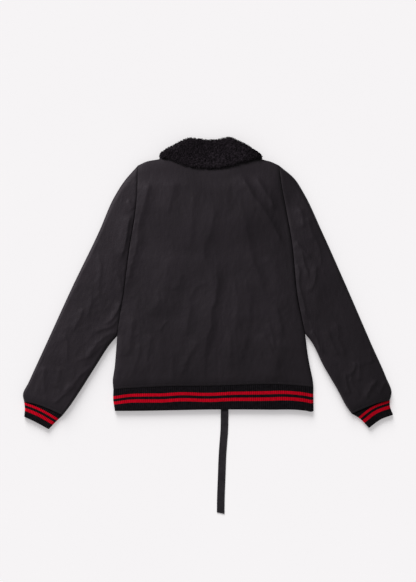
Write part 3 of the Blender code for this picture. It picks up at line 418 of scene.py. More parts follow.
def body_stops(step=1):
    """Shares up the body, with finer ones at both ends and on both sides of the underarm."""
    length = BACK_SIZE[1]
    return np.concatenate([fine_stops(length, 0, UNDERARM_SHARE)[:-1:step],
                           fine_stops(length, UNDERARM_SHARE, 1)[::step]])


# ---------------------------------------------------------------- heights
def rounded(share):
    """A quarter circle: 0 at an edge, 1 where share is 1 or more."""
    share = np.clip(share, 0, 1)
    return np.sqrt(1 - (1 - share) ** 2)


def eased(share):
    share = np.clip(share, 0, 1)
    return share * share * (3 - 2 * share)


def lift(plan, slack=0.0):
    away = np.hypot(plan[..., 0] - NECK_CENTRE[0], plan[..., 1] - NECK_CENTRE[1]) - slack
    return COLLAR_LIFT * eased((LIFT_OUTER - away) / (LIFT_OUTER - LIFT_INNER))


def neck_sag(plan):
    across = (plan[..., 0] - NECK_SAG_CENTRE[0]) / NECK_SAG_REACH[0]
    up = (plan[..., 1] - NECK_SAG_CENTRE[1]) / NECK_SAG_REACH[1]
    return NECK_SAG * np.exp(-across**2 - up**2)


def folds(plan, table):
    """The summed height of a table's ridges, which fade out at their ends."""
    total = np.zeros(plan.shape[:-1])
    x, y = plan[..., 0], plan[..., 1]
    stray = [4.5 * noise(x / 31.0, y / 37.0, seed) + 1.6 * noise(x / 9.0, y / 11.0, seed + 2)
             for seed in (71, 72)]
    plan = plan[..., :2] + np.stack(stray, axis=-1)
    for row in table:
        fold = dict(zip(FOLD_COLUMNS, row))
        line = Path([(*point, 0.0) for point in fold["line"]]).points[:, :2]
        nearest = np.full(plan.shape[:-1], np.inf)
        share, side = np.zeros_like(nearest), np.zeros_like(nearest)
        for number, (start, end) in enumerate(zip(line[:-1], line[1:])):
            run = end - start
            along = np.clip(((plan - start) @ run) / (run @ run), 0, 1)
            off = plan - start - along[..., None] * run
            away = np.linalg.norm(off, axis=-1)
            closer = away < nearest
            nearest = np.where(closer, away, nearest)
            share = np.where(closer, (number + along) / (len(line) - 1), share)
            side = np.where(closer, run[0] * off[..., 1] - run[1] * off[..., 0], side)
        width = np.where(side > 0, fold["steep"], fold["wide"])
        ends = eased(share / FOLD_FADE) * eased((1 - share) / FOLD_FADE)
        total += fold["height"] * ends * np.exp(-((nearest / width) ** FOLD_SHAPE))
    return total


def gathered(distance):
    """What a rib's seam leaves of a height at this distance from it."""
    return 1 - GATHER_SHARE * (1 - rounded(distance / GATHER_DEPTH))


def softly_gathered(distance):
    """The same on the upper side, where the cloth swells evenly from the seam."""
    return 1 - TOP_GATHER_SHARE * (1 - np.sin(0.5 * np.pi * np.clip(distance / GATHER_DEPTH, 0, 1)))


def stitched(distance):
    """The depth of the furrow that a rib's topstitching pulls, at this distance from the seam."""
    return STITCH_DEPTH * np.exp(-((distance - STITCH_ABOVE) / STITCH_FURROW) ** 2)


def with_height(plan, height):
    return np.concatenate([plan, np.broadcast_to(height, plan.shape[:-1])[..., None]], axis=-1)


def noise(x, y, seed):
    """Smooth random heights from -1 to 1 over unit cells."""
    size = 97
    table = np.random.default_rng(seed).uniform(-1, 1, (size, size))
    xi, yi = np.floor(x).astype(int), np.floor(y).astype(int)
    fx, fy = eased(x - xi), eased(y - yi)
    corner = [table[(xi + a) % size, (yi + b) % size] for a, b in ((0, 0), (1, 0), (0, 1), (1, 1))]
    return ((corner[0] * (1 - fx) + corner[1] * fx) * (1 - fy)
            + (corner[2] * (1 - fx) + corner[3] * fx) * fy)


def wrinkles(plan, lean, seed):
    """Random wrinkles that run along a direction, lean degrees from +Y towards +X."""
    turn = math.radians(lean)
    across = plan[..., 0] * math.cos(turn) - plan[..., 1] * math.sin(turn)
    along = plan[..., 0] * math.sin(turn) + plan[..., 1] * math.cos(turn)
    bend = 14.0 * noise(across / 90.0, along / 120.0, seed + 50)
    total = np.zeros(plan.shape[:-1])
    for number, row in enumerate(WRINKLES):
        one = dict(zip(WRINKLE_COLUMNS, row))
        field = noise((across + bend) / one["width"], along / one["length"], seed + number)
        where = 0.55 + 0.45 * noise(across / 110.0, along / 110.0, seed + 20 + number)
        total += one["height"] * field * where
    return total


def puckers(along, away, seed):
    """Small gathers beside a seam, from the distance along it and away from it."""
    wave = (noise(along / PUCKER_PITCH, away / 60.0, seed)
            + 0.5 * noise(along / (0.5 * PUCKER_PITCH), away / 30.0, seed + 1))
    fade = np.clip(away / 2.5, 0, 1) * np.exp(-away / (0.45 * PUCKER_REACH))
    return PUCKER_HEIGHT * wave * fade


# ---------------------------------------------------------------- meshes
def band(first, second, base_first, base_second):
    """Triangles, as point numbers, between two lines that may have different counts."""
    shares = []
    for line in (first, second):
        run = np.concatenate([[0], np.cumsum(np.linalg.norm(np.diff(line[:, :2], axis=0), axis=1))])
        shares.append(run / run[-1])
    faces = []
    i = j = 0
    while i < len(first) - 1 or j < len(second) - 1:
        ahead = j == len(second) - 1 or (i < len(first) - 1 and shares[0][i + 1] < shares[1][j + 1])
        corner = base_first + i + 1 if ahead else base_second + j + 1
        faces.append((base_first + i, corner, base_second + j))
        i, j = (i + 1, j) if ahead else (i, j + 1)
    return faces


def grid_quads(rows, columns, first=0):
    """A grid's faces as the numbers of their points, of which the first has this number."""
    index = first + np.arange(rows * columns).reshape(rows, columns)
    return np.stack([index[:-1, :-1], index[:-1, 1:], index[1:, 1:], index[1:, :-1]], axis=-1)


def new_object(name, points, faces, materials=()):
    """An object in the scene with a mesh of these points (mm) and faces."""
    mesh = bpy.data.meshes.new(name)
    mesh.from_pydata((points * MM).tolist(), [], faces)
    for material in materials:
        mesh.materials.append(material)
    made = bpy.data.objects.new(name, mesh)
    bpy.context.scene.collection.objects.link(made)
    return made


def solid(name, grids, materials, bands=(), slots=None, merge=1e-6):
    """One closed mesh from grids of points that share their borders and bands between lines.

    slots maps a grid's number to its faces' material numbers, one for each row of faces.
    """
    points, faces, finish = [], [], []
    count = 0
    for number, grid in enumerate(grids):
        rows, columns = grid.shape[:2]
        points.append(grid.reshape(-1, 3))
        faces += grid_quads(rows, columns, count).reshape(-1, 4).tolist()
        by_row = (slots or {}).get(number, [0] * (rows - 1))
        finish += np.repeat(by_row, columns - 1).tolist()
        count += rows * columns
    for first, second in bands:
        points += [first, second]
        triangles = band(first, second, count, count + len(first))
        faces += triangles
        finish += [0] * len(triangles)
        count += len(first) + len(second)
    made = new_object(name, np.concatenate(points), faces, materials)
    mesh = made.data
    mesh.polygons.foreach_set("material_index", finish)
    bm = bmesh.new()
    bm.from_mesh(mesh)
    bmesh.ops.remove_doubles(bm, verts=bm.verts, dist=merge)
    bmesh.ops.dissolve_degenerate(bm, edges=bm.edges, dist=merge)
    bmesh.ops.recalc_face_normals(bm, faces=bm.faces)
    bm.to_mesh(mesh)
    bm.free()
    mesh.shade_smooth()
    mesh.set_sharp_from_angle(angle=math.radians(55))
    return made


def strip(first, second):
    return np.stack([first, second])


def every(count, step=UNDER_STEP):
    """Every few of a line's points, with both its ends."""
    return np.unique(np.concatenate([np.arange(0, count, step), [count - 1]]))


def build_wall(name, plan, seen, hidden, cloth):
    """A closed wall from the heights of its fine seen side and its coarse hidden side."""
    few = np.ix_(every(len(plan)), every(plan.shape[1]))
    fine, coarse = with_height(plan, seen), with_height(plan, hidden)[few]
    bands = [(fine[row], coarse[row]) for row in (0, -1)]
    bands += [(fine[:, column], coarse[:, column]) for column in (0, -1)]
    return solid(name, [fine, coarse], [cloth], bands=bands)


def close_holes(piece):
    """Fill the slivers that are left at the corners, between two bands."""
    bm = bmesh.new()
    bm.from_mesh(piece.data)
    open_edges = [edge for edge in bm.edges if edge.is_boundary]
    if open_edges:
        bmesh.ops.holes_fill(bm, edges=open_edges, sides=12)
    bmesh.ops.recalc_face_normals(bm, faces=bm.faces)
    bm.to_mesh(piece.data)
    bm.free()


def build_tube(name, seen, under, slit, middle, half_slit, materials, slots=None):
    """A closed wall round a flat hollow: a slit with its own plan and the height of its middle."""
    taper = np.minimum(1, np.sin(np.pi * np.linspace(0, 1, slit.shape[1])) * 4)[None, :]
    slit_top, slit_bottom = (with_height(slit, middle + way * half_slit * taper) for way in (1, -1))
    bands = [(seen[:, column], under[:, column]) for column in (0, -1)]
    for row in (0, -1):
        bands += [(seen[row], slit_top[row]), (under[row], slit_bottom[row])]
    made = solid(name, [seen, under, slit_top, slit_bottom], materials, bands=bands, slots=slots)
    close_holes(made)
    return made


def tube_rings(centre, thick, side, up, sides):
    """Rings of points round a line, each in the plane of its two directions."""
    turn = (np.arange(sides) * 2 * math.pi / sides)[:, None]
    return centre[:, None] + thick[:, None, None] * (np.cos(turn) * side[..., None, :]
                                                     + np.sin(turn) * up[..., None, :])


def tubes_piece(name, tubes, finish):
    """Many closed tubes with the same rings, as one piece."""
    rows, sides = tubes[0].shape[:2]
    base = np.arange(rows * sides).reshape(rows, sides)
    pattern = [(base[k, s], base[k, (s + 1) % sides], base[k + 1, (s + 1) % sides], base[k + 1, s])
               for k in range(rows - 1) for s in range(sides)]
    pattern += [tuple(base[0][::-1]), tuple(base[-1])]
    faces = [tuple(int(point) + number * base.size for point in face)
             for number in range(len(tubes)) for face in pattern]
    made = new_object(name, np.concatenate(tubes).reshape(-1, 3), faces, [finish])
    made.data.shade_smooth()
    return settle(made, None)


def capsules(name, starts, ends, radius, finish):
    """Short rounded rods between pairs of points (mm), as one piece."""
    shares = np.array([0, 0.12, 0.5, 0.88, 1])[:, None]
    thick = np.array([0.35, 0.9, 1.0, 0.9, 0.35]) * radius
    raised = (np.array([-0.6, 0, 0.15, 0, -0.6]) * radius)[:, None]
    tubes = []
    for start, end in zip(starts, ends):
        ahead = (end - start) / np.linalg.norm(end - start)
        side = np.cross(ahead, (0, 0, 1.0))
        side /= np.linalg.norm(side)
        up = np.cross(side, ahead)
        tubes.append(tube_rings(start + shares * (end - start) + raised * up, thick, side, up, 5))
    return tubes_piece(name, tubes, finish)


def settle(piece, node):
    """The piece moves with the jacket and stands for a CAD node."""
    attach(piece, BODY)
    if node:
        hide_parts(node)
    return piece


# ---------------------------------------------------------------- simulated creases
CREASE_STEP = 5.6           # between the points of a simulated sheet
CREASE_DEPTH = 2.2          # the wadding under it stops a crease this far down
CREASE_CAP = 2.6
CREASE_FRAMES = 14


def spline_weights(count, shares):
    """Weights that carry values at even stops over to other shares along a smooth curve."""
    where = np.clip(np.asarray(shares, float), 0, 1) * (count - 1)
    first = np.minimum(np.floor(where).astype(int), count - 2)
    t = where - first
    parts = (-0.5 * t + t**2 - 0.5 * t**3, 1 - 2.5 * t**2 + 1.5 * t**3,
             0.5 * t + 2 * t**2 - 1.5 * t**3, -0.5 * t**2 + 0.5 * t**3)
    weights = np.zeros((len(where), count))
    for step, part in enumerate(parts):
        np.add.at(weights, (np.arange(len(where)), np.clip(first + step - 1, 0, count - 1)), part)
    return weights


def grid_object(name, plan, height):
    """An open sheet whose faces look up, and its points' numbers as a grid."""
    rows, columns = plan.shape[:2]
    quads = grid_quads(rows, columns)
    across, up = plan[0, 1] - plan[0, 0], plan[1, 0] - plan[0, 0]
    if across[0] * up[1] - across[1] * up[0] < 0:
        quads = quads[..., ::-1]
    made = new_object(name, with_height(plan, height).reshape(-1, 3), quads.reshape(-1, 4).tolist())
    return made, np.arange(rows * columns).reshape(rows, columns)


def creases(shape_of, size, spare, u, v):
    """Creases of a cloth cut too large for its place by spare (across, along), at shares u and v.

    shape_of gives plan points and heights of the smooth sheet for shares u and v.
    """
    stops = [np.linspace(0, 1, int(length / CREASE_STEP) + 1) for length in size]
    plan, height = shape_of(*stops)
    rng = np.random.default_rng(5)
    height = height + 0.25 * rng.uniform(-1, 1, height.shape)
    cloth, index = grid_object("creasing", plan, height)
    under, _ = grid_object("wadding", plan, height - CREASE_DEPTH)
    border = np.unique(np.concatenate([index[0], index[-1], index[:, 0], index[:, -1]]))
    cloth.vertex_groups.new(name="held").add(border.tolist(), 1.0, "REPLACE")
    cloth.shape_key_add(name="Basis")
    rest = cloth.shape_key_add(name="rest")
    middle = plan.reshape(-1, 2).mean(axis=0)
    wide = middle + (plan - middle) * (1 + np.array(spare))
    rest.data.foreach_set("co", (with_height(wide, height).reshape(-1) * MM).astype(np.float32))
    under.modifiers.new("under", "COLLISION")
    under.collision.thickness_outer = 0.001
    under.collision.cloth_friction = 15
    modifier = cloth.modifiers.new("cloth", "CLOTH")
    modifier.settings.rest_shape_key = rest
    for key, value in {"quality": 5, "mass": 0.25, "tension_stiffness": 40, "compression_stiffness": 40,
                       "shear_stiffness": 20, "bending_stiffness": 4.0, "tension_damping": 10,
                       "compression_damping": 10, "shear_damping": 10, "bending_damping": 1,
                       "air_damping": 2, "vertex_group_mass": "held"}.items():
        setattr(modifier.settings, key, value)
    modifier.settings.effector_weights.gravity = 0.2
    modifier.collision_settings.distance_min = 0.001
    modifier.collision_settings.use_self_collision = False
    modifier.point_cache.frame_start, modifier.point_cache.frame_end = 1, CREASE_FRAMES
    scene = bpy.context.scene
    for number in range(1, CREASE_FRAMES + 1):
        scene.frame_set(number)
    settled = cloth.evaluated_get(bpy.context.evaluated_depsgraph_get()).data
    points = np.empty(len(settled.vertices) * 3)
    settled.vertices.foreach_get("co", points)
    change = points.reshape(*height.shape, 3)[..., 2] / MM - height
    for used in (cloth, under):
        bpy.data.objects.remove(used)
    scene.frame_set(1)
    change -= np.median(change)
    change = np.clip(change, -CREASE_CAP, CREASE_CAP)
    return spline_weights(len(stops[1]), v) @ change @ spline_weights(len(stops[0]), u).T


# ---------------------------------------------------------------- body
def side_change(v):
    """0 along the side seam and 1 along the armhole, with a short change between them."""
    return eased((v - UNDERARM_SHARE) / UNDERARM_EASE)


def side_drop(v, at_armhole):
    """How far a body's edge falls, as a share of its height, from the hem to the shoulder."""
    over = side_change(v)
    return (1 - over) * SIDE_DROP + over * at_armhole


def back_heights(plan, u, v, creased):
    """Under and upper height of the back panel."""
    u, v = np.array(u)[None, :], np.array(v)[:, None]
    width = np.linalg.norm(plan[:, -1] - plan[:, 0], axis=-1)[:, None]
    rise = np.linalg.norm(plan[-1] - plan[0], axis=-1)[None, :]
    from_left, from_right, from_hem = u * width, (1 - u) * width, v * rise

    left = 1 - side_drop(v, ARMHOLE_DROP[LEFT]) * (1 - rounded(from_left / SIDE_ROUND))
    reach = SIDE_ROUND + (ARMHOLE_ROUND - SIDE_ROUND) * side_change(v)
    right = 1 - side_drop(v, ARMHOLE_DROP[RIGHT]) * (1 - rounded(from_right / reach))
    on_shoulder = 1 - eased((np.minimum(u, 1 - u) - 0.20) / 0.10)
    top_share = (1 - v) / (1 - UNDERARM_SHARE) / SHARE_ROUND
    top = 1 - SIDE_DROP * on_shoulder * (1 - rounded(top_share))
    seam = 1 - 0.28 * (1 - rounded(from_hem / 9.0))

    from_neck = np.hypot(plan[..., 0] - NECK_CENTRE[0], plan[..., 1] - NECK_CENTRE[1])
    free = eased((from_neck - 55.0) / COLLAR_EASE) * eased((290.0 - plan[..., 1]) / COLLAR_EASE)
    puff = BACK_PUFF * (1 - (2 * u - 1) ** 4) * (1 - (2 * v - 1) ** 6) * free
    fine = (creased + wrinkles(plan, BACK_LEAN, 3) + puckers(plan[..., 0], from_hem, 11)
            + puckers(plan[..., 1], from_left, 13) + puckers(plan[..., 1] * 0.9, from_right, 17))
    near_edge = rounded(np.minimum(np.minimum(u, 1 - u) * width, from_hem) / 8.0)
    shape = (puff + folds(plan, BACK_FOLDS) * free * rounded(from_hem / 40.0)
             + fine * np.maximum(free, 0.25) * near_edge)

    base = SHELL_WALL + LAYER_GAP + lift(plan, LIFT_SLACK) - neck_sag(plan)
    under = base + 0.35 * puff
    upper = base + RIM + (SHELL_WALL - RIM + shape) * left * right * top * seam
    upper = np.maximum(upper - stitched(from_hem), under + RIM) * softly_gathered(from_hem)
    return under * gathered(from_hem), upper


def build_back(cloth):
    u, v = fine_stops(BACK_SIZE[0]), body_stops()

    def smooth(u, v):
        plan = patch(Path(HEM_SEAM).at, Path(SHOULDERS).at, body_edge(LEFT), body_edge(RIGHT), u, v)
        return plan, folds(plan, BACK_FOLDS) + wrinkles(plan, BACK_LEAN, 3)

    plan, _ = smooth(u, v)
    under, upper = back_heights(plan, u, v, creases(smooth, BACK_SIZE, BACK_SPARE, u, v))
    made = settle(build_wall("shell_back", plan, upper, under, cloth), "back_panel")
    return plan, upper


def front_edge(side):
    return straight(np.add(FRONT_EDGE_BOTTOM, (side * ZIP_GAP / 2, 0)),
                    np.add(FRONT_EDGE_TOP, (side * ZIP_GAP / 2, 0)))


def zip_share(side):
    """Where a front's edge meets the hem's seam, as a share of the seam."""
    return ((FRONT_EDGE_BOTTOM[0] + side * ZIP_GAP / 2 - HEM_SEAM[0][0])
            / (HEM_SEAM[-1][0] - HEM_SEAM[0][0]))


def front_plan(side, u, v):
    """Plan of a front, from its side seam (u = 0) to the zip (u = 1)."""
    bottom = part_of(Path(HEM_SEAM), 0 if side == LEFT else 1, zip_share(side))
    shoulder = SHOULDERS[:3] if side == LEFT else SHOULDERS[:-4:-1]
    end = front_edge(side)(np.array([1.0]))[0]
    top = Path([*shoulder, *neck_path(side, FRONT_NECK), tuple(end)])
    return patch(bottom, top.at, body_edge(side), straight(bottom(np.array([1.0]))[0], end), u, v)


def build_front(side, cloth):
    u, v = fine_stops(FRONT_WIDTH)[::2], body_stops(2)
    u[-1], v[-1] = 1.0, 1.0
    plan = front_plan(side, u, v)
    u, v = u[None, :], v[:, None]
    width = np.linalg.norm(plan[:, -1] - plan[:, 0], axis=-1)[:, None]
    from_hem = v * np.linalg.norm(plan[-1] - plan[0], axis=-1)[None, :]
    keep = gathered(from_hem)
    edge = side_drop(v, 0.0) * (1 - rounded(u * width / SIDE_ROUND))
    on_shoulder = 1 - eased((u - 0.34) / 0.12)
    top_share = (1 - v) / (1 - UNDERARM_SHARE) / SHARE_ROUND
    edge = np.maximum(edge, SIDE_DROP * on_shoulder * (1 - rounded(top_share)))
    low = lift(plan)
    near_edge = rounded(np.minimum(np.minimum(u, 1 - u) * width, from_hem) / 10.0)
    dents = np.clip(wrinkles(plan, FRONT_LEAN, 60 + side), 0, None) * near_edge
    under = low + (SHELL_WALL - RIM) * edge + dents
    upper = (low + SHELL_WALL) * keep
    under = np.minimum(under * keep, upper - RIM * keep)
    made = build_wall("shell_front_" + SIDES[side], plan, under, upper, cloth)
    settle(made, "front_" + SIDES[side])


# ---------------------------------------------------------------- sleeves and cuffs
def sleeve_plan(side, u, v):
    """Plan of a sleeve, from its outer edge (u = 0) to the underarm, and from armhole to cuff."""
    start = moved(part_of(Path(ARMHOLE[side]), 1, 0), side * SEAM_GAP, 0)
    outer, inner = (pinned(Path(table[side]), side * SEAM_GAP, 0) for table in (SLEEVE_OUTER, SLEEVE_INNER))
    return patch(start, Path(CUFF_SEAM[side]).at, outer, inner, u, v)


def build_sleeve(side, cloth, thread):
    lean = -side * SLEEVE_LEAN

    def ridges(plan):
        return SLEEVE_FOLD_GAIN * folds(plan, SLEEVE_FOLDS[side])

    def smooth(u, v):
        plan = sleeve_plan(side, u, v)
        return plan, ridges(plan) + wrinkles(plan, lean, 30 + side)

    u, v = (fine_stops(length) for length in SLEEVE_SIZE)
    plan = sleeve_plan(side, u, v)
    creased = creases(smooth, SLEEVE_SIZE, SLEEVE_SPARE, u, v)
    run = run_along(plan)
    to_cuff = run[-1][None, :] - run
    across = u[None, :] * np.linalg.norm(plan[:, -1] - plan[:, 0], axis=-1)[:, None]
    u, v = u[None, :], v[:, None]
    keep = gathered(to_cuff)
    edge = rounded(np.minimum(u, 1 - u) / SHARE_ROUND)
    seam = 1 - SLEEVE_DROP[side] * (1 - rounded(run / SLEEVE_DROP_REACH[side]))
    cuff_seam = 1 - 0.12 * (1 - rounded(to_cuff / 8.0))

    fine = (creased + wrinkles(plan, lean, 30 + side) + 1.4 * puckers(plan[..., 1], run, 33 + side)
            + puckers(across, to_cuff, 35 + side)) * edge
    shape = (SLEEVE_PUFF * np.sin(np.pi * u) * rounded(v / 0.2) + ridges(plan) * rounded(to_cuff / 40.0)
             + fine)
    middle = SHELL_WALL + LAYER_GAP / 2 + lift(plan)
    rise = SHELL_WALL + LAYER_GAP / 2 + shape - stitched(to_cuff)
    soft_keep = keep + (softly_gathered(to_cuff) - keep) * edge
    top = (middle * keep + np.maximum(rise, 3.0) * edge * seam * cuff_seam * soft_keep
           + middle * (soft_keep - keep))
    low = lift(plan) * keep
    bottom = low + (middle * keep - low) * (1 - edge) - 0.5 * (1 - rounded(np.minimum(u, 1 - u) / 0.02))

    few = np.ix_(every(v.size), every(u.size))
    inside = np.ix_(every(v.size, 12), every(u.size, 6)[1:-1])
    made = build_tube("sleeve_cloth_" + SIDES[side], with_height(plan, top), with_height(plan, bottom)[few],
                      plan[inside], (middle * keep)[inside], SLEEVE_SLIT / 2, [cloth])
    settle(made, "sleeve_" + SIDES[side])
    row = int(np.argmin(np.abs(to_cuff[:, u.size // 2] - STITCH_ABOVE)))
    stitch_line("stitches_cuff_" + SIDES[side], with_height(plan[row], top[row] + 0.1)[8:-8], thread)


def rib_wave(position, count):
    """A row of rounded ribs: 0 in the furrows and at both ends, 1 on the ribs."""
    return np.abs(np.sin(np.pi * np.asarray(position) * count)) ** 0.75


def rib_rows(marks, steps):
    """Shares of a rib's rows for each column, and the material number of the faces after each row.

    marks holds where the stripes begin and end, a row for each mark and a column for each column.
    """
    ends = [np.zeros(marks.shape[1]), *marks, np.ones(marks.shape[1])]
    rows, red = [], []
    for k, count in enumerate(steps):
        share = (np.arange(count) / count)[:, None]
        rows.append(ends[k] + share * (ends[k + 1] - ends[k]))
        red += [k % 2] * count
    return np.concatenate([*rows, ends[-1][None]]), red


def along_courses(even, rows):
    """A rib's plan points, moved along its columns from even rows to these."""
    stops = np.linspace(0, 1, len(even))
    columns = range(rows.shape[1])
    moved_to = [[np.interp(rows[:, j], stops, even[:, j, k]) for j in columns] for k in (0, 1)]
    return np.stack(moved_to, axis=-1).swapaxes(0, 1)


def knit_edge(rows, u, count):
    """A knit stripe's edge steps a little from rib to rib; ends stay where they are."""
    return np.where((rows > 0) & (rows < 1), 0.005 * np.sin(2 * np.pi * u * count)[None, :], 0.0)


def cuff_plan(side, u, v):
    """Plan of a cuff, from its outer edge (u = 0) to its inner one, and from seam to edge."""
    seam = moved(Path(CUFF_SEAM[side]).at, 0, -SEAM_GAP)
    outer, inner = (pinned(Path(table[side]), 0, -SEAM_GAP) for table in (CUFF_OUTER, CUFF_INNER))
    return patch(seam, Path(CUFF_EDGE[side]).at, outer, inner, u, v)


def build_cuff(side, rib, red):
    middle = RIB_WALL + CUFF_SLIT / 2
    u = np.linspace(0, 1, CUFF_RIBS * RIB_POINTS + 1)
    side_round = rounded(np.minimum(u, 1 - u) / 0.07)
    even = cuff_plan(side, u, np.linspace(0, 1, EVEN_ROWS))
    length = np.linalg.norm(even[-1] - even[0], axis=-1)[None, :]
    from_edge = CUFF_MARGIN[side] + np.array(CUFF_STRIPES)[:, None]
    v, by_row = rib_rows(np.maximum(1 - from_edge / length, CUFF_MARK_LEAST), CUFF_STEPS)
    plan = along_courses(even, v)
    soft = 0.94 + 0.06 * rounded(np.minimum(v, 1 - v) / 0.08)
    ribs = rib_wave(u, CUFF_RIBS)
    top = middle + (middle + (RIB_RAISE * ribs)[None, :]) * side_round * soft
    bottom = middle - (middle - 0.5 * (1 - ribs)[None, :]) * side_round - 0.4 * (1 - side_round)
    seen, under = with_height(plan, top), with_height(plan, bottom)
    seen[..., 1] += knit_edge(v, u, CUFF_RIBS) * 24.0
    slit = cuff_plan(side, np.linspace(0.04, 0.96, 2 * CUFF_RIBS + 1), [0.0, 0.5, 1.0])
    made = build_tube("cuff_knit_" + SIDES[side], seen, under, slit, middle, CUFF_SLIT / 2, [rib, red],
                      slots={0: by_row, 1: by_row})
    settle(made, "cuff_" + SIDES[side])


# ---------------------------------------------------------------- hem rib
def hem_patch(u, v):
    seam = moved(Path(HEM_SEAM).at, 0, -SEAM_GAP)
    left, right = (pinned(Path(HEM_SIDE[side]), 0, -SEAM_GAP) for side in (LEFT, RIGHT))
    return patch(seam, Path(HEM_EDGE).at, left, right, u, v)


def hem_marks(x):
    """Where the stripes begin and end at these places from side to side."""
    course = Path(HEM_COURSE).points
    return np.array(HEM_STRIPES)[:, None] + np.interp(x, course[:, 0], course[:, 1])


def hem_part(shares, on_back):
    """A stretch of the hem's outer layer, and the material numbers of its rows of faces."""
    middle = RIB_WALL + HEM_SLIT / 2
    even = hem_patch(shares, np.linspace(0, 1, EVEN_ROWS))
    v, by_row = rib_rows(hem_marks(even[EVEN_ROWS // 2, :, 0]), HEM_STEPS)
    soft = 0.95 + 0.05 * rounded(np.minimum(v, 1 - v) / 0.08)
    side_round = rounded(np.minimum(shares, 1 - shares) * HEM_WIDTH / 6.0)
    ribs = rib_wave(shares, HEM_RIBS)
    if on_back:
        height = middle + (middle + (RIB_RAISE * ribs)[None, :]) * side_round * soft
    else:
        height = (middle - (middle - 0.6 * (1 - ribs)[None, :]) * side_round) * np.ones((len(v), 1))
    part = with_height(along_courses(even, v), height)
    part[..., 1] += knit_edge(v, shares, HEM_RIBS) * 40.0
    return part, by_row


def build_hem(rib, red):
    """The hem from zip to zip: its left front, its back and its right front, as one closed wall."""
    zip_left, zip_right = zip_share(LEFT), zip_share(RIGHT)
    fine = np.linspace(0, 1, HEM_RIBS * RIB_POINTS + 1)
    front = fine[::2]
    u_left = np.concatenate([[zip_left - 0.006], front[(front < zip_left - 0.008) & (front > 0)][::-1]])
    u_right = np.concatenate([front[(front > zip_right + 0.006) & (front < 1)][::-1], [zip_right + 0.004]])
    parts = [hem_part(u_left, False), hem_part(fine, True), hem_part(u_right, False)]
    outer = np.concatenate([part for part, _ in parts], axis=1)
    by_row = parts[0][1]

    inset = RIB_WALL / HEM_WIDTH * 1.4
    counts = (len(u_left) // 8, HEM_RIBS + 1, len(u_right) // 8)
    stretches = ((u_left[0], 0.012, -1), (0, 1, 1), (0.988, u_right[-1], -1))
    layers = []
    for count, (start, end, way) in zip(counts, stretches):
        shares = inset + np.linspace(start, end, count) * (1 - 2 * inset)
        height = RIB_WALL + HEM_SLIT / 2 + way * HEM_SLIT / 2
        layers.append(with_height(hem_patch(shares, [0.0, 1.0]), height))
    inner = np.concatenate(layers, axis=1)

    split = [0, len(u_left), len(u_left) + len(fine) - 1, outer.shape[1] - 1]
    inner_split = [0, counts[0], counts[0] + counts[1] - 1, inner.shape[1] - 1]
    bands = [(outer[row, split[k]:split[k + 1] + 1], inner[row, inner_split[k]:inner_split[k + 1] + 1])
             for row in (0, -1) for k in range(3)]
    bands += [(outer[:, column], inner[:, column]) for column in (0, -1)]
    made = solid("hem_knit", [outer, inner], [rib, red], bands=bands, slots={0: by_row})
    settle(made, "hem_rib")


# ---------------------------------------------------------------- collar
# Columns of points over each end of the outline, which turns into a leaf, and over the rest.
TURN_COLUMNS = 22
BACK_COLUMNS = 120


def panel_top(plan):
    return 2 * SHELL_WALL + LAYER_GAP + lift(plan) - neck_sag(plan)


def inset_outline(outline, depth):
    def edge(share):
        share = np.asarray(share, float)
        ahead = outline.at(np.clip(share + 0.01, 0, 1)) - outline.at(np.clip(share - 0.01, 0, 1))
        across = np.stack([ahead[..., 1], -ahead[..., 0]], axis=-1)
        across /= np.linalg.norm(across, axis=-1)[..., None]
        return outline.at(share)[..., :2] + across * depth
    return edge


def walled(outer, inner):
    """Two sheets that start at a shared seam, with strips between their other borders."""
    return [outer, inner, strip(outer[-1], inner[-1]), strip(outer[:, 0], inner[:, 0]),
            strip(outer[:, -1], inner[:, -1])]


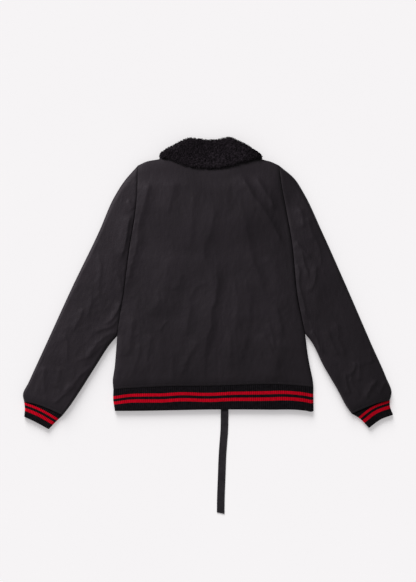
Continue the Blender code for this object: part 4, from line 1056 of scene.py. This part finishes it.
def collar_grids():
    """The collar's closed surface; the first grids are those whose pile is seen."""
    outline, fall = Path(COLLAR_OUTLINE), Path(FALL_EDGE)
    left_turn = outline.share(LEAF_KNOTS)
    right_turn = outline.share(len(COLLAR_OUTLINE) - 1 - LEAF_KNOTS)
    u = np.concatenate([np.linspace(0, left_turn, TURN_COLUMNS + 1),
                        np.linspace(left_turn, right_turn, BACK_COLUMNS + 1)[1:-1],
                        np.linspace(right_turn, 1, TURN_COLUMNS + 1)])
    v = np.concatenate([np.linspace(0, 0.08, 5)[:-1], np.linspace(0.08, 0.84, 30)[:-1],
                        1 - 0.16 * np.linspace(1, 0, 15) ** 1.6])
    inner_line = inset_outline(outline, COLLAR_WALL)
    ends = [straight(fall.at(s)[:2], outline.at(s)[:2]) for s in (0.0, 1.0)]
    plan = patch(fall.at, outline.at, ends[0], ends[1], u, v)
    inner_ends = [straight(fall.at(s)[:2], inner_line(s)) for s in (0.0, 1.0)]
    inner_plan = patch(fall.at, inner_line, inner_ends[0], inner_ends[1], u, v)
    height = outline.at(u)[:, 2]
    length = np.linalg.norm(plan[-1] - plan[0], axis=-1)
    from_outline = (1 - v)[:, None] * length[None, :]
    fall_edge = 1 - 0.66 * (1 - rounded(v[:, None] * length[None, :] / 7.0))
    under = panel_top(inner_plan) + COLLAR_CLEAR
    inner_top = height + (under - height) * rounded(from_outline / 9.0)
    full = panel_top(plan) + COLLAR_CLEAR + COLLAR_WALL * fall_edge
    outer_top = height + (full - height) * rounded(from_outline / 15.0)
    outer, inner = with_height(plan, outer_top), with_height(inner_plan, inner_top)
    seen = [outer]
    hidden = [inner, strip(outer[0], inner[0]), strip(outer[:, 0], inner[:, 0]),
              strip(outer[:, -1], inner[:, -1])]
    first, last = TURN_COLUMNS, len(u) - 1 - TURN_COLUMNS
    stand = slice(first + STAND_SKIP, last - STAND_SKIP + 1)
    for lines in (stand_grids(outer[-1, stand], inner[-1, stand]),
                  leaf_grids(LEFT, outer[-1, :first + 1], inner[-1, :first + 1]),
                  leaf_grids(RIGHT, outer[-1, last:], inner[-1, last:])):
        seen.append(lines[0])
        hidden += lines[1:]
    hidden += [strip(outer[-1, k:k + STAND_SKIP + 1], inner[-1, k:k + STAND_SKIP + 1])
               for k in (first, last - STAND_SKIP)]
    return seen, hidden


def stand_grids(outer_line, inner_line):
    """The stand: two sheets from the outline down to the seam at the back's shoulders."""
    v = np.concatenate([np.linspace(0, 0.25, 12)[:-1], np.linspace(0.25, 1, 14)])
    x = np.linspace(NECK_CENTRE[0] - STAND_SIDE, NECK_CENTRE[0] + STAND_SIDE, len(outer_line))
    seam = Path(SHOULDERS)
    shares = np.interp(x, seam.points[:, 0], seam.along / seam.length)
    foot = seam.at(shares)[:, :2] + (0, SEAM_GAP)
    sheets = []
    for line, drop, reach in ((outer_line, STAND_WALL, 13.0), (inner_line, 0.0, 8.0)):
        along = np.stack([np.sqrt(v), v], axis=-1)[:, None, :]
        plan = line[None, :, :2] + along * (foot - line[:, :2])[None]
        length = np.linalg.norm(foot - line[:, :2], axis=-1)
        turn = rounded(v[:, None] * length[None, :] / reach)
        full = panel_top(plan) - drop - 0.3
        sheets.append(with_height(plan, line[None, :, 2] + (full - line[None, :, 2]) * turn))
    return walled(*sheets)


def leaf_grids(side, outer_line, inner_line):
    """A leaf: two sheets from the outline's end down and round to the neck's front."""
    if side == RIGHT:
        outer_line, inner_line = outer_line[::-1], inner_line[::-1]
    u = np.linspace(0, 1, len(outer_line))
    v = np.concatenate([np.linspace(0, 0.12, 12)[:-1], np.linspace(0.12, 0.96, 40), [0.985, 1]])
    sheets = []
    for line, depth in ((outer_line, 0.0), (inner_line, COLLAR_WALL)):
        outer_side = Path([tuple(line[0, :2]), *neck_path(side, LEAF_OUTER)])
        inner_side = Path([tuple(line[-1, :2]), *neck_path(side, LEAF_INNER)])
        end = straight(outer_side.at(1.0), inner_side.at(1.0))
        plan = patch(along_points(u, line[:, :2]), end, outer_side.at, inner_side.at, u, v)
        run = run_along(plan)
        turn = rounded(run / (16.0 - depth))
        soft = np.maximum(1 - rounded((run[-1][None, :] - run) / 6.0),
                          (1 - rounded(np.minimum(u, 1 - u) / 0.09))[None, :])
        full = depth * 0.96 if depth else 2.4 * soft
        sheets.append(with_height(plan, line[None, :, 2] + (full - line[None, :, 2]) * turn))
    return walled(*sheets)


def build_collar(pile):
    seen, hidden = collar_grids()
    made = solid("collar_pile", seen + hidden, [pile])
    mesh = made.data
    points = np.empty(len(mesh.vertices) * 3)
    normals = np.empty(len(mesh.vertices) * 3)
    mesh.vertices.foreach_get("co", points)
    mesh.vertex_normals.foreach_get("vector", normals)
    points, normals = points.reshape(-1, 3), normals.reshape(-1, 3)
    rng = np.random.default_rng(8)
    surface = np.concatenate([grid.reshape(-1, 3) for grid in seen]) * MM
    centres = surface[rng.choice(len(surface), CURL_COUNT, replace=False)]
    tree = KDTree(len(centres))
    for number, centre in enumerate(centres):
        tree.insert(centre, number)
    tree.balance()
    near = np.array([tree.find(point)[2] for point in points]) / (TUFT_REACH * MM)
    bump = np.where(near < 1, np.sqrt(np.clip(1 - near**2, 0, 1)), 0.0)
    depth = (TUFT_HEIGHT * (bump - 1) + 0.5 * noise(points[:, 0] * 180, points[:, 1] * 180, 9)) * MM
    points += normals * (depth * (near < 2.5))[:, None]
    points[:, 2] = np.maximum(points[:, 2], 0.0)
    mesh.vertices.foreach_set("co", points.ravel())
    mesh.update()
    settle(made, "collar")
    curls = build_curls(pile, points, normals, tree, rng)


def build_curls(pile, points, normals, tree, rng):
    """One small open loop of yarn on each tuft of the pile."""
    owner = {}
    for number, point in enumerate(points):
        _, index, away = tree.find(point)
        if away < owner.get(index, (9.0, 0))[0]:
            owner[index] = (away, number)
    thick = CURL_WIRE * np.sin(np.linspace(0.35, math.pi - 0.35, CURL_STEPS)) ** 0.5
    tubes = []
    for _, number in owner.values():
        out = normals[number]
        first = np.cross(out, rng.normal(size=3))
        first /= np.linalg.norm(first) + 1e-9
        second = np.cross(out, first)
        tilt = rng.uniform(0.25, 0.9)
        up = out * tilt + second * (1 - tilt)
        up /= np.linalg.norm(up)
        radius = CURL_RADIUS * rng.uniform(0.7, 1.15)
        angles = np.linspace(0, math.radians(rng.uniform(250, 400)), CURL_STEPS) + rng.uniform(0, 6.3)
        centre = points[number] / MM + out * 0.3
        ring = (centre + radius * (np.cos(angles)[:, None] * first + np.sin(angles)[:, None] * up)
                + np.linspace(-0.5, 0.5, CURL_STEPS)[:, None] * np.cross(first, up))
        ahead = np.gradient(ring, axis=0)
        ahead /= np.linalg.norm(ahead, axis=1)[:, None]
        side = np.cross(ahead, up)
        side /= np.linalg.norm(side, axis=1)[:, None] + 1e-9
        tube = tube_rings(ring, thick, side, np.cross(ahead, side), 3)
        tube[..., 2] = np.maximum(tube[..., 2], 0.1)
        tubes.append(tube)
    return tubes_piece("collar_curls", tubes, pile)


# ---------------------------------------------------------------- stitches, zip and strap
def stitch_line(name, line, finish):
    """Stitches along a line of points (mm) that lies on the cloth."""
    run = np.concatenate([[0], np.cumsum(np.linalg.norm(np.diff(line, axis=0), axis=1))])
    starts = np.arange(2.0, run[-1] - STITCH_PITCH, STITCH_PITCH)
    place = along_points(run, line)
    return capsules(name, place(starts), place(starts + STITCH_LENGTH), STITCH_RADIUS, finish)


def zip_x(y):
    share = (y - FRONT_EDGE_BOTTOM[1]) / (FRONT_EDGE_TOP[1] - FRONT_EDGE_BOTTOM[1])
    return FRONT_EDGE_BOTTOM[0] + share * (FRONT_EDGE_TOP[0] - FRONT_EDGE_BOTTOM[0])


def build_teeth(metal):
    """Interlocked teeth: one from each side in turn, across the zip's middle line."""
    y = np.arange(HEM_EDGE[3][1] + 3.0, SLIDER_FOOT - 2.0, TOOTH_PITCH / 2)
    x = zip_x(y)
    low = (lift(np.stack([x, y], axis=-1)) + TAPE_HEIGHT * gathered(y - FRONT_EDGE_BOTTOM[1])
           - CHAIN_DROP - TOOTH_SINK)
    side = np.where(np.arange(len(y)) % 2 == 0, -1.0, 1.0)
    starts = np.column_stack([x + side * TOOTH_REACH[0], y, low])
    ends = np.column_stack([x - side * TOOTH_REACH[1], y, low])
    made = capsules("zip_teeth", starts, ends, TOOTH_RADIUS, metal)
    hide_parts("zip_chain")


def build_strap(webbing):
    """Woven webbing: a flat section with rounded sides and a raised rib along each of them."""
    share = np.linspace(0, 1, STRAP_STEPS + 1)
    line = Path(STRAP_ROUTE).at(share)
    ahead = np.gradient(line, axis=0)
    across = np.stack([-ahead[:, 1], ahead[:, 0]], axis=-1)
    across /= np.linalg.norm(across, axis=-1)[:, None]
    down = eased((STRAP_DROP[0] - line[:, 1]) / (STRAP_DROP[0] - STRAP_DROP[1]))
    low = STRAP_CLEAR + (1 - down) * RIB_WALL
    width, rise = (np.array(half + [middle] + [way * value for value in half[::-1]])
                   for half, middle, way in ((STRAP_ACROSS, 0, -1), (STRAP_RISE, STRAP_MIDDLE, 1)))
    end = np.clip((share - 0.985) / 0.015, 0, 1)
    plan = line[:, None, :] + across[:, None, :] * (width * STRAP_WIDTH)[None, :, None]
    plan[..., 1] -= end[:, None] * (width * 4.0)[None, :]
    tight = 1 - 0.15 * np.exp(-(((share - 0.1) / 0.02) ** 2))
    upper = low[:, None] + STRAP_WALL * (0.5 + (rise[None, :] - 0.5) * tight[:, None])
    lower = low[:, None] + STRAP_WALL * (1 - rise)[None, :]
    grids = [with_height(plan, upper), with_height(plan, lower)]
    grids += [strip(grids[0][row], grids[1][row]) for row in (0, -1)]
    made = solid("strap_webbing", grids, [webbing])
    settle(made, "strap")


# ---------------------------------------------------------------- materials
class Nodes:
    """A material's nodes, made and linked by short calls."""

    def __init__(self, name, colour, roughness, **constants):
        self.material = bpy.data.materials.new(name)
        self.material.use_nodes = True
        self.tree = self.material.node_tree
        self.shader = self.tree.nodes["Principled BSDF"]
        self.shader.inputs["Base Color"].default_value = (*colour, 1)
        self.shader.inputs["Roughness"].default_value = roughness
        for socket, value in constants.items():
            self.shader.inputs[socket.replace("_", " ")].default_value = value
        self.place = self.add("ShaderNodeTexCoord").outputs["Object"]

    def add(self, kind, **settings):
        node = self.tree.nodes.new(kind)
        for key, value in settings.items():
            setattr(node, key, value)
        return node

    def link(self, source, target):
        self.tree.links.new(source, target)

    def mapped(self, turn=0.0, scale=(1, 1, 1)):
        node = self.add("ShaderNodeMapping")
        node.inputs["Rotation"].default_value = (0, 0, math.radians(turn))
        node.inputs["Scale"].default_value = scale
        self.link(self.place, node.inputs["Vector"])
        return node.outputs["Vector"]

    def noise(self, vector, scale, detail=2.0, roughness=0.5):
        node = self.add("ShaderNodeTexNoise")
        node.inputs["Scale"].default_value = scale
        node.inputs["Detail"].default_value = detail
        node.inputs["Roughness"].default_value = roughness
        self.link(vector, node.inputs["Vector"])
        return node.outputs["Fac"]

    def wave(self, vector, scale, direction, distortion=0.0):
        node = self.add("ShaderNodeTexWave", wave_type="BANDS", bands_direction=direction)
        node.inputs["Scale"].default_value = scale
        node.inputs["Distortion"].default_value = distortion
        node.inputs["Detail"].default_value = 1.0
        self.link(vector, node.inputs["Vector"])
        return node.outputs["Fac"]

    def math(self, operation, first, second):
        node = self.add("ShaderNodeMath", operation=operation)
        for socket, value in zip(node.inputs, (first, second)):
            if isinstance(value, (int, float)):
                socket.default_value = value
            else:
                self.link(value, socket)
        return node.outputs["Value"]

    def ramp(self, fac, low, high):
        """A colour from low to high as fac goes from 0.3 to 0.7."""
        node = self.add("ShaderNodeValToRGB")
        first, last = node.color_ramp.elements
        first.position, last.position = 0.3, 0.7
        first.color, last.color = (*low, 1), (*high, 1)
        self.link(fac, node.inputs["Fac"])
        return node.outputs["Color"]

    def range(self, fac, low, high):
        node = self.add("ShaderNodeMapRange")
        node.inputs["To Min"].default_value = low
        node.inputs["To Max"].default_value = high
        self.link(fac, node.inputs["Value"])
        return node.outputs["Result"]

    def bump(self, height, distance, strength=1.0, under=None):
        node = self.add("ShaderNodeBump")
        node.inputs["Distance"].default_value = distance
        node.inputs["Strength"].default_value = strength
        self.link(height, node.inputs["Height"])
        if under is not None:
            self.link(under, node.inputs["Normal"])
        return node.outputs["Normal"]

    def finish(self, colour=None, roughness=None, normal=None):
        for socket, source in (("Base Color", colour), ("Roughness", roughness), ("Normal", normal)):
            if source is not None:
                self.link(source, self.shader.inputs[socket])
        return self.material


def shell_material(name, turn):
    """Smooth black nylon: a fine close weave, faint blotches, and small creases."""
    nodes = Nodes(name, (0.013, 0.0115, 0.013), 0.55, Specular_IOR_Level=0.16, Sheen_Weight=0.02,
                  Sheen_Roughness=0.4)
    flat = nodes.mapped(turn)
    tone = nodes.noise(flat, 9.0, 3.0)
    colour = nodes.ramp(tone, (0.0098, 0.0080, 0.0098), (0.0150, 0.0124, 0.0150))
    weave = nodes.math("ADD", nodes.wave(flat, 420.0, "X"), nodes.wave(flat, 420.0, "Y"))
    crease = nodes.noise(nodes.mapped(turn, (1.0, 0.45, 1.0)), 85.0, 4.0, 0.6)
    rough = nodes.range(nodes.noise(flat, 60.0, 3.0), 0.50, 0.66)
    soft = nodes.bump(crease, 0.0011, 0.55)
    return nodes.finish(colour, rough, nodes.bump(weave, 0.00008, 0.5, soft))


def rib_material(name, low, high, specular):
    """Rib knit: small knit loops along each rib, with a little fuzz."""
    nodes = Nodes(name, low, 0.9, Specular_IOR_Level=specular)
    flat = nodes.mapped()
    fuzz = nodes.noise(flat, 900.0, 4.0, 0.7)
    colour = nodes.ramp(nodes.noise(flat, 160.0, 3.0, 0.6), low, high)
    loops = nodes.math("ADD", nodes.wave(flat, 210.0, "Y", 1.2), nodes.math("MULTIPLY", fuzz, 0.8))
    return nodes.finish(colour, nodes.range(fuzz, 0.82, 0.95), nodes.bump(loops, 0.00035, 0.8))


def pile_material():
    """Curly pile: dark wool whose tufts catch a little light."""
    nodes = Nodes("pile", (0.008, 0.007, 0.008), 0.9, Specular_IOR_Level=0.06, Sheen_Weight=0.02,
                  Sheen_Roughness=0.5)
    flat = nodes.mapped()
    tone = nodes.noise(flat, 230.0, 3.0, 0.7)
    colour = nodes.ramp(tone, (0.0038, 0.0031, 0.0040), (0.0210, 0.0175, 0.0210))
    hair = nodes.noise(flat, 1400.0, 4.0, 0.75)
    return nodes.finish(colour, nodes.range(hair, 0.84, 0.96), nodes.bump(hair, 0.0006, 0.9))


def webbing_material():
    """Flat webbing: warp ribs along its length and a tight weft across."""
    nodes = Nodes("webbing", (0.017, 0.016, 0.018), 0.7, Specular_IOR_Level=0.14)
    flat = nodes.mapped(1.5)
    warp = nodes.wave(flat, 190.0, "X")
    weft = nodes.wave(flat, 330.0, "Y")
    weave = nodes.math("ADD", warp, nodes.math("MULTIPLY", weft, 0.6))
    colour = nodes.ramp(nodes.noise(flat, 70.0, 3.0), (0.0165, 0.0153, 0.0175), (0.0280, 0.0257, 0.0290))
    return nodes.finish(colour, nodes.range(weave, 0.6, 0.8), nodes.bump(weave, 0.0003, 0.8))


def tape_material():
    nodes = Nodes("zip tape", (0.010, 0.0095, 0.0105), 0.85, Specular_IOR_Level=0.2)
    flat = nodes.mapped()
    weave = nodes.math("ADD", nodes.wave(flat, 500.0, "DIAGONAL"), nodes.noise(flat, 700.0))
    colour = nodes.ramp(nodes.noise(flat, 120.0), (0.008, 0.0075, 0.0085), (0.014, 0.013, 0.0145))
    return nodes.finish(colour, None, nodes.bump(weave, 0.0002, 0.7))


def metal_material():
    nodes = Nodes("zip metal", (0.20, 0.20, 0.21), 0.35, Metallic=1.0)
    flat = nodes.mapped()
    wear = nodes.noise(flat, 900.0, 4.0, 0.65)
    colour = nodes.ramp(wear, (0.12, 0.12, 0.125), (0.28, 0.28, 0.29))
    return nodes.finish(colour, nodes.range(wear, 0.28, 0.5), nodes.bump(wear, 0.00005, 0.5))


def thread_material():
    nodes = Nodes("thread", (0.014, 0.013, 0.014), 0.6, Specular_IOR_Level=0.3)
    twist = nodes.wave(nodes.mapped(), 900.0, "DIAGONAL")
    colour = nodes.ramp(twist, (0.010, 0.0095, 0.010), (0.020, 0.019, 0.020))
    return nodes.finish(colour, None, nodes.bump(twist, 0.0001, 0.8))


# ---------------------------------------------------------------- camera, floor and light
def light_up(light, place, settings, floor, state):
    """A light that shines at the origin, on the floor alone or on all but the floor."""
    for key, value in settings.items():
        setattr(light, key, value)
    made = bpy.data.objects.new(light.name, light)
    made.location = place
    made.rotation_euler = (-made.location).to_track_quat("-Z", "Y").to_euler()
    bpy.context.scene.collection.objects.link(made)
    lit = bpy.data.collections.new(light.name + " light")
    lit.objects.link(floor)
    lit.collection_objects[0].light_linking.link_state = state
    made.light_linking.receiver_collection = lit


def build_camera():
    camera = bpy.data.cameras.new("camera")
    camera.lens = LENS
    camera.sensor_width = SENSOR
    camera.clip_end = 50.0
    made = bpy.data.objects.new("camera", camera)
    distance = LENS / SENSOR * (PHOTO[1] * PX * MM)
    made.location = (VIEW_CENTRE[0] * MM, VIEW_CENTRE[1] * MM, distance)
    bpy.context.scene.collection.objects.link(made)
    bpy.context.scene.camera = made


def build_floor():
    nodes = Nodes("floor", (0.80, 0.79, 0.79), 0.95, Specular_IOR_Level=0.0, Emission_Strength=1.0,
                  Emission_Color=FLOOR_GLOW)
    tone = nodes.noise(nodes.mapped(), 3.0)
    finish = nodes.finish(nodes.ramp(tone, (0.797, 0.788, 0.792), (0.803, 0.794, 0.798)))
    corners = np.array([(-1, -1, 0), (1, -1, 0), (1, 1, 0), (-1, 1, 0)]) * FLOOR_REACH
    floor = new_object("floor", corners, [(0, 1, 2, 3)], [finish])
    floor.location.z = -0.0002
    return floor


def build_stage():
    build_camera()
    floor = build_floor()
    light_up(bpy.data.lights.new("key", "AREA"), KEY_PLACE,
             {"energy": KEY_POWER, "size": KEY_SIZE, "color": KEY_COLOUR}, floor, "EXCLUDE")
    light_up(bpy.data.lights.new("sky", "SUN"), SKY_PLACE,
             {"energy": SKY_POWER, "angle": SKY_ANGLE}, floor, "INCLUDE")
    world = bpy.data.worlds.new("studio")
    world.use_nodes = True
    background = world.node_tree.nodes["Background"]
    background.inputs["Color"].default_value = (1.0, 0.995, 1.0, 1)
    background.inputs["Strength"].default_value = AROUND
    scene = bpy.context.scene
    scene.world = world
    scene.view_settings.view_transform = "Standard"
    scene.view_settings.look = "None"


def dress():
    shell = shell_material("shell cloth", 0.0)
    sleeves = {side: shell_material(f"shell cloth {SIDES[side]} sleeve", side * SLEEVE_LEAN)
               for side in (LEFT, RIGHT)}
    rib = rib_material("rib black", (0.0035, 0.003, 0.0037), (0.0085, 0.0078, 0.0092), 0.06)
    red = rib_material("rib red", (0.37, 0.0011, 0.0092), (0.53, 0.0019, 0.0142), 0.03)
    pile = pile_material()
    tape = tape_material()
    metal = metal_material()
    thread = thread_material()

    plan, upper = build_back(shell)
    for side in (LEFT, RIGHT):
        build_front(side, shell)
    for side in (LEFT, RIGHT):
        build_sleeve(side, sleeves[side], thread)
    for side in (LEFT, RIGHT):
        build_cuff(side, rib, red)
    build_hem(rib, red)
    build_collar(pile)
    build_teeth(metal)
    build_strap(webbing_material())
    for node, finish in (("zip_tape_left", tape), ("zip_tape_right", tape), ("zip_slider", metal),
                         ("zip_pull", metal)):
        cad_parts[node].data.materials.clear()
        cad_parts[node].data.materials.append(finish)

    above_hem = int(np.argmin(np.abs(plan[:, 50, 1] - plan[0, 50, 1] - STITCH_ABOVE)))
    line = with_height(plan[above_hem], upper[above_hem] + 0.1)
    stitch_line("stitches_hem", line[6:-6], thread)


build_stage()
dress()
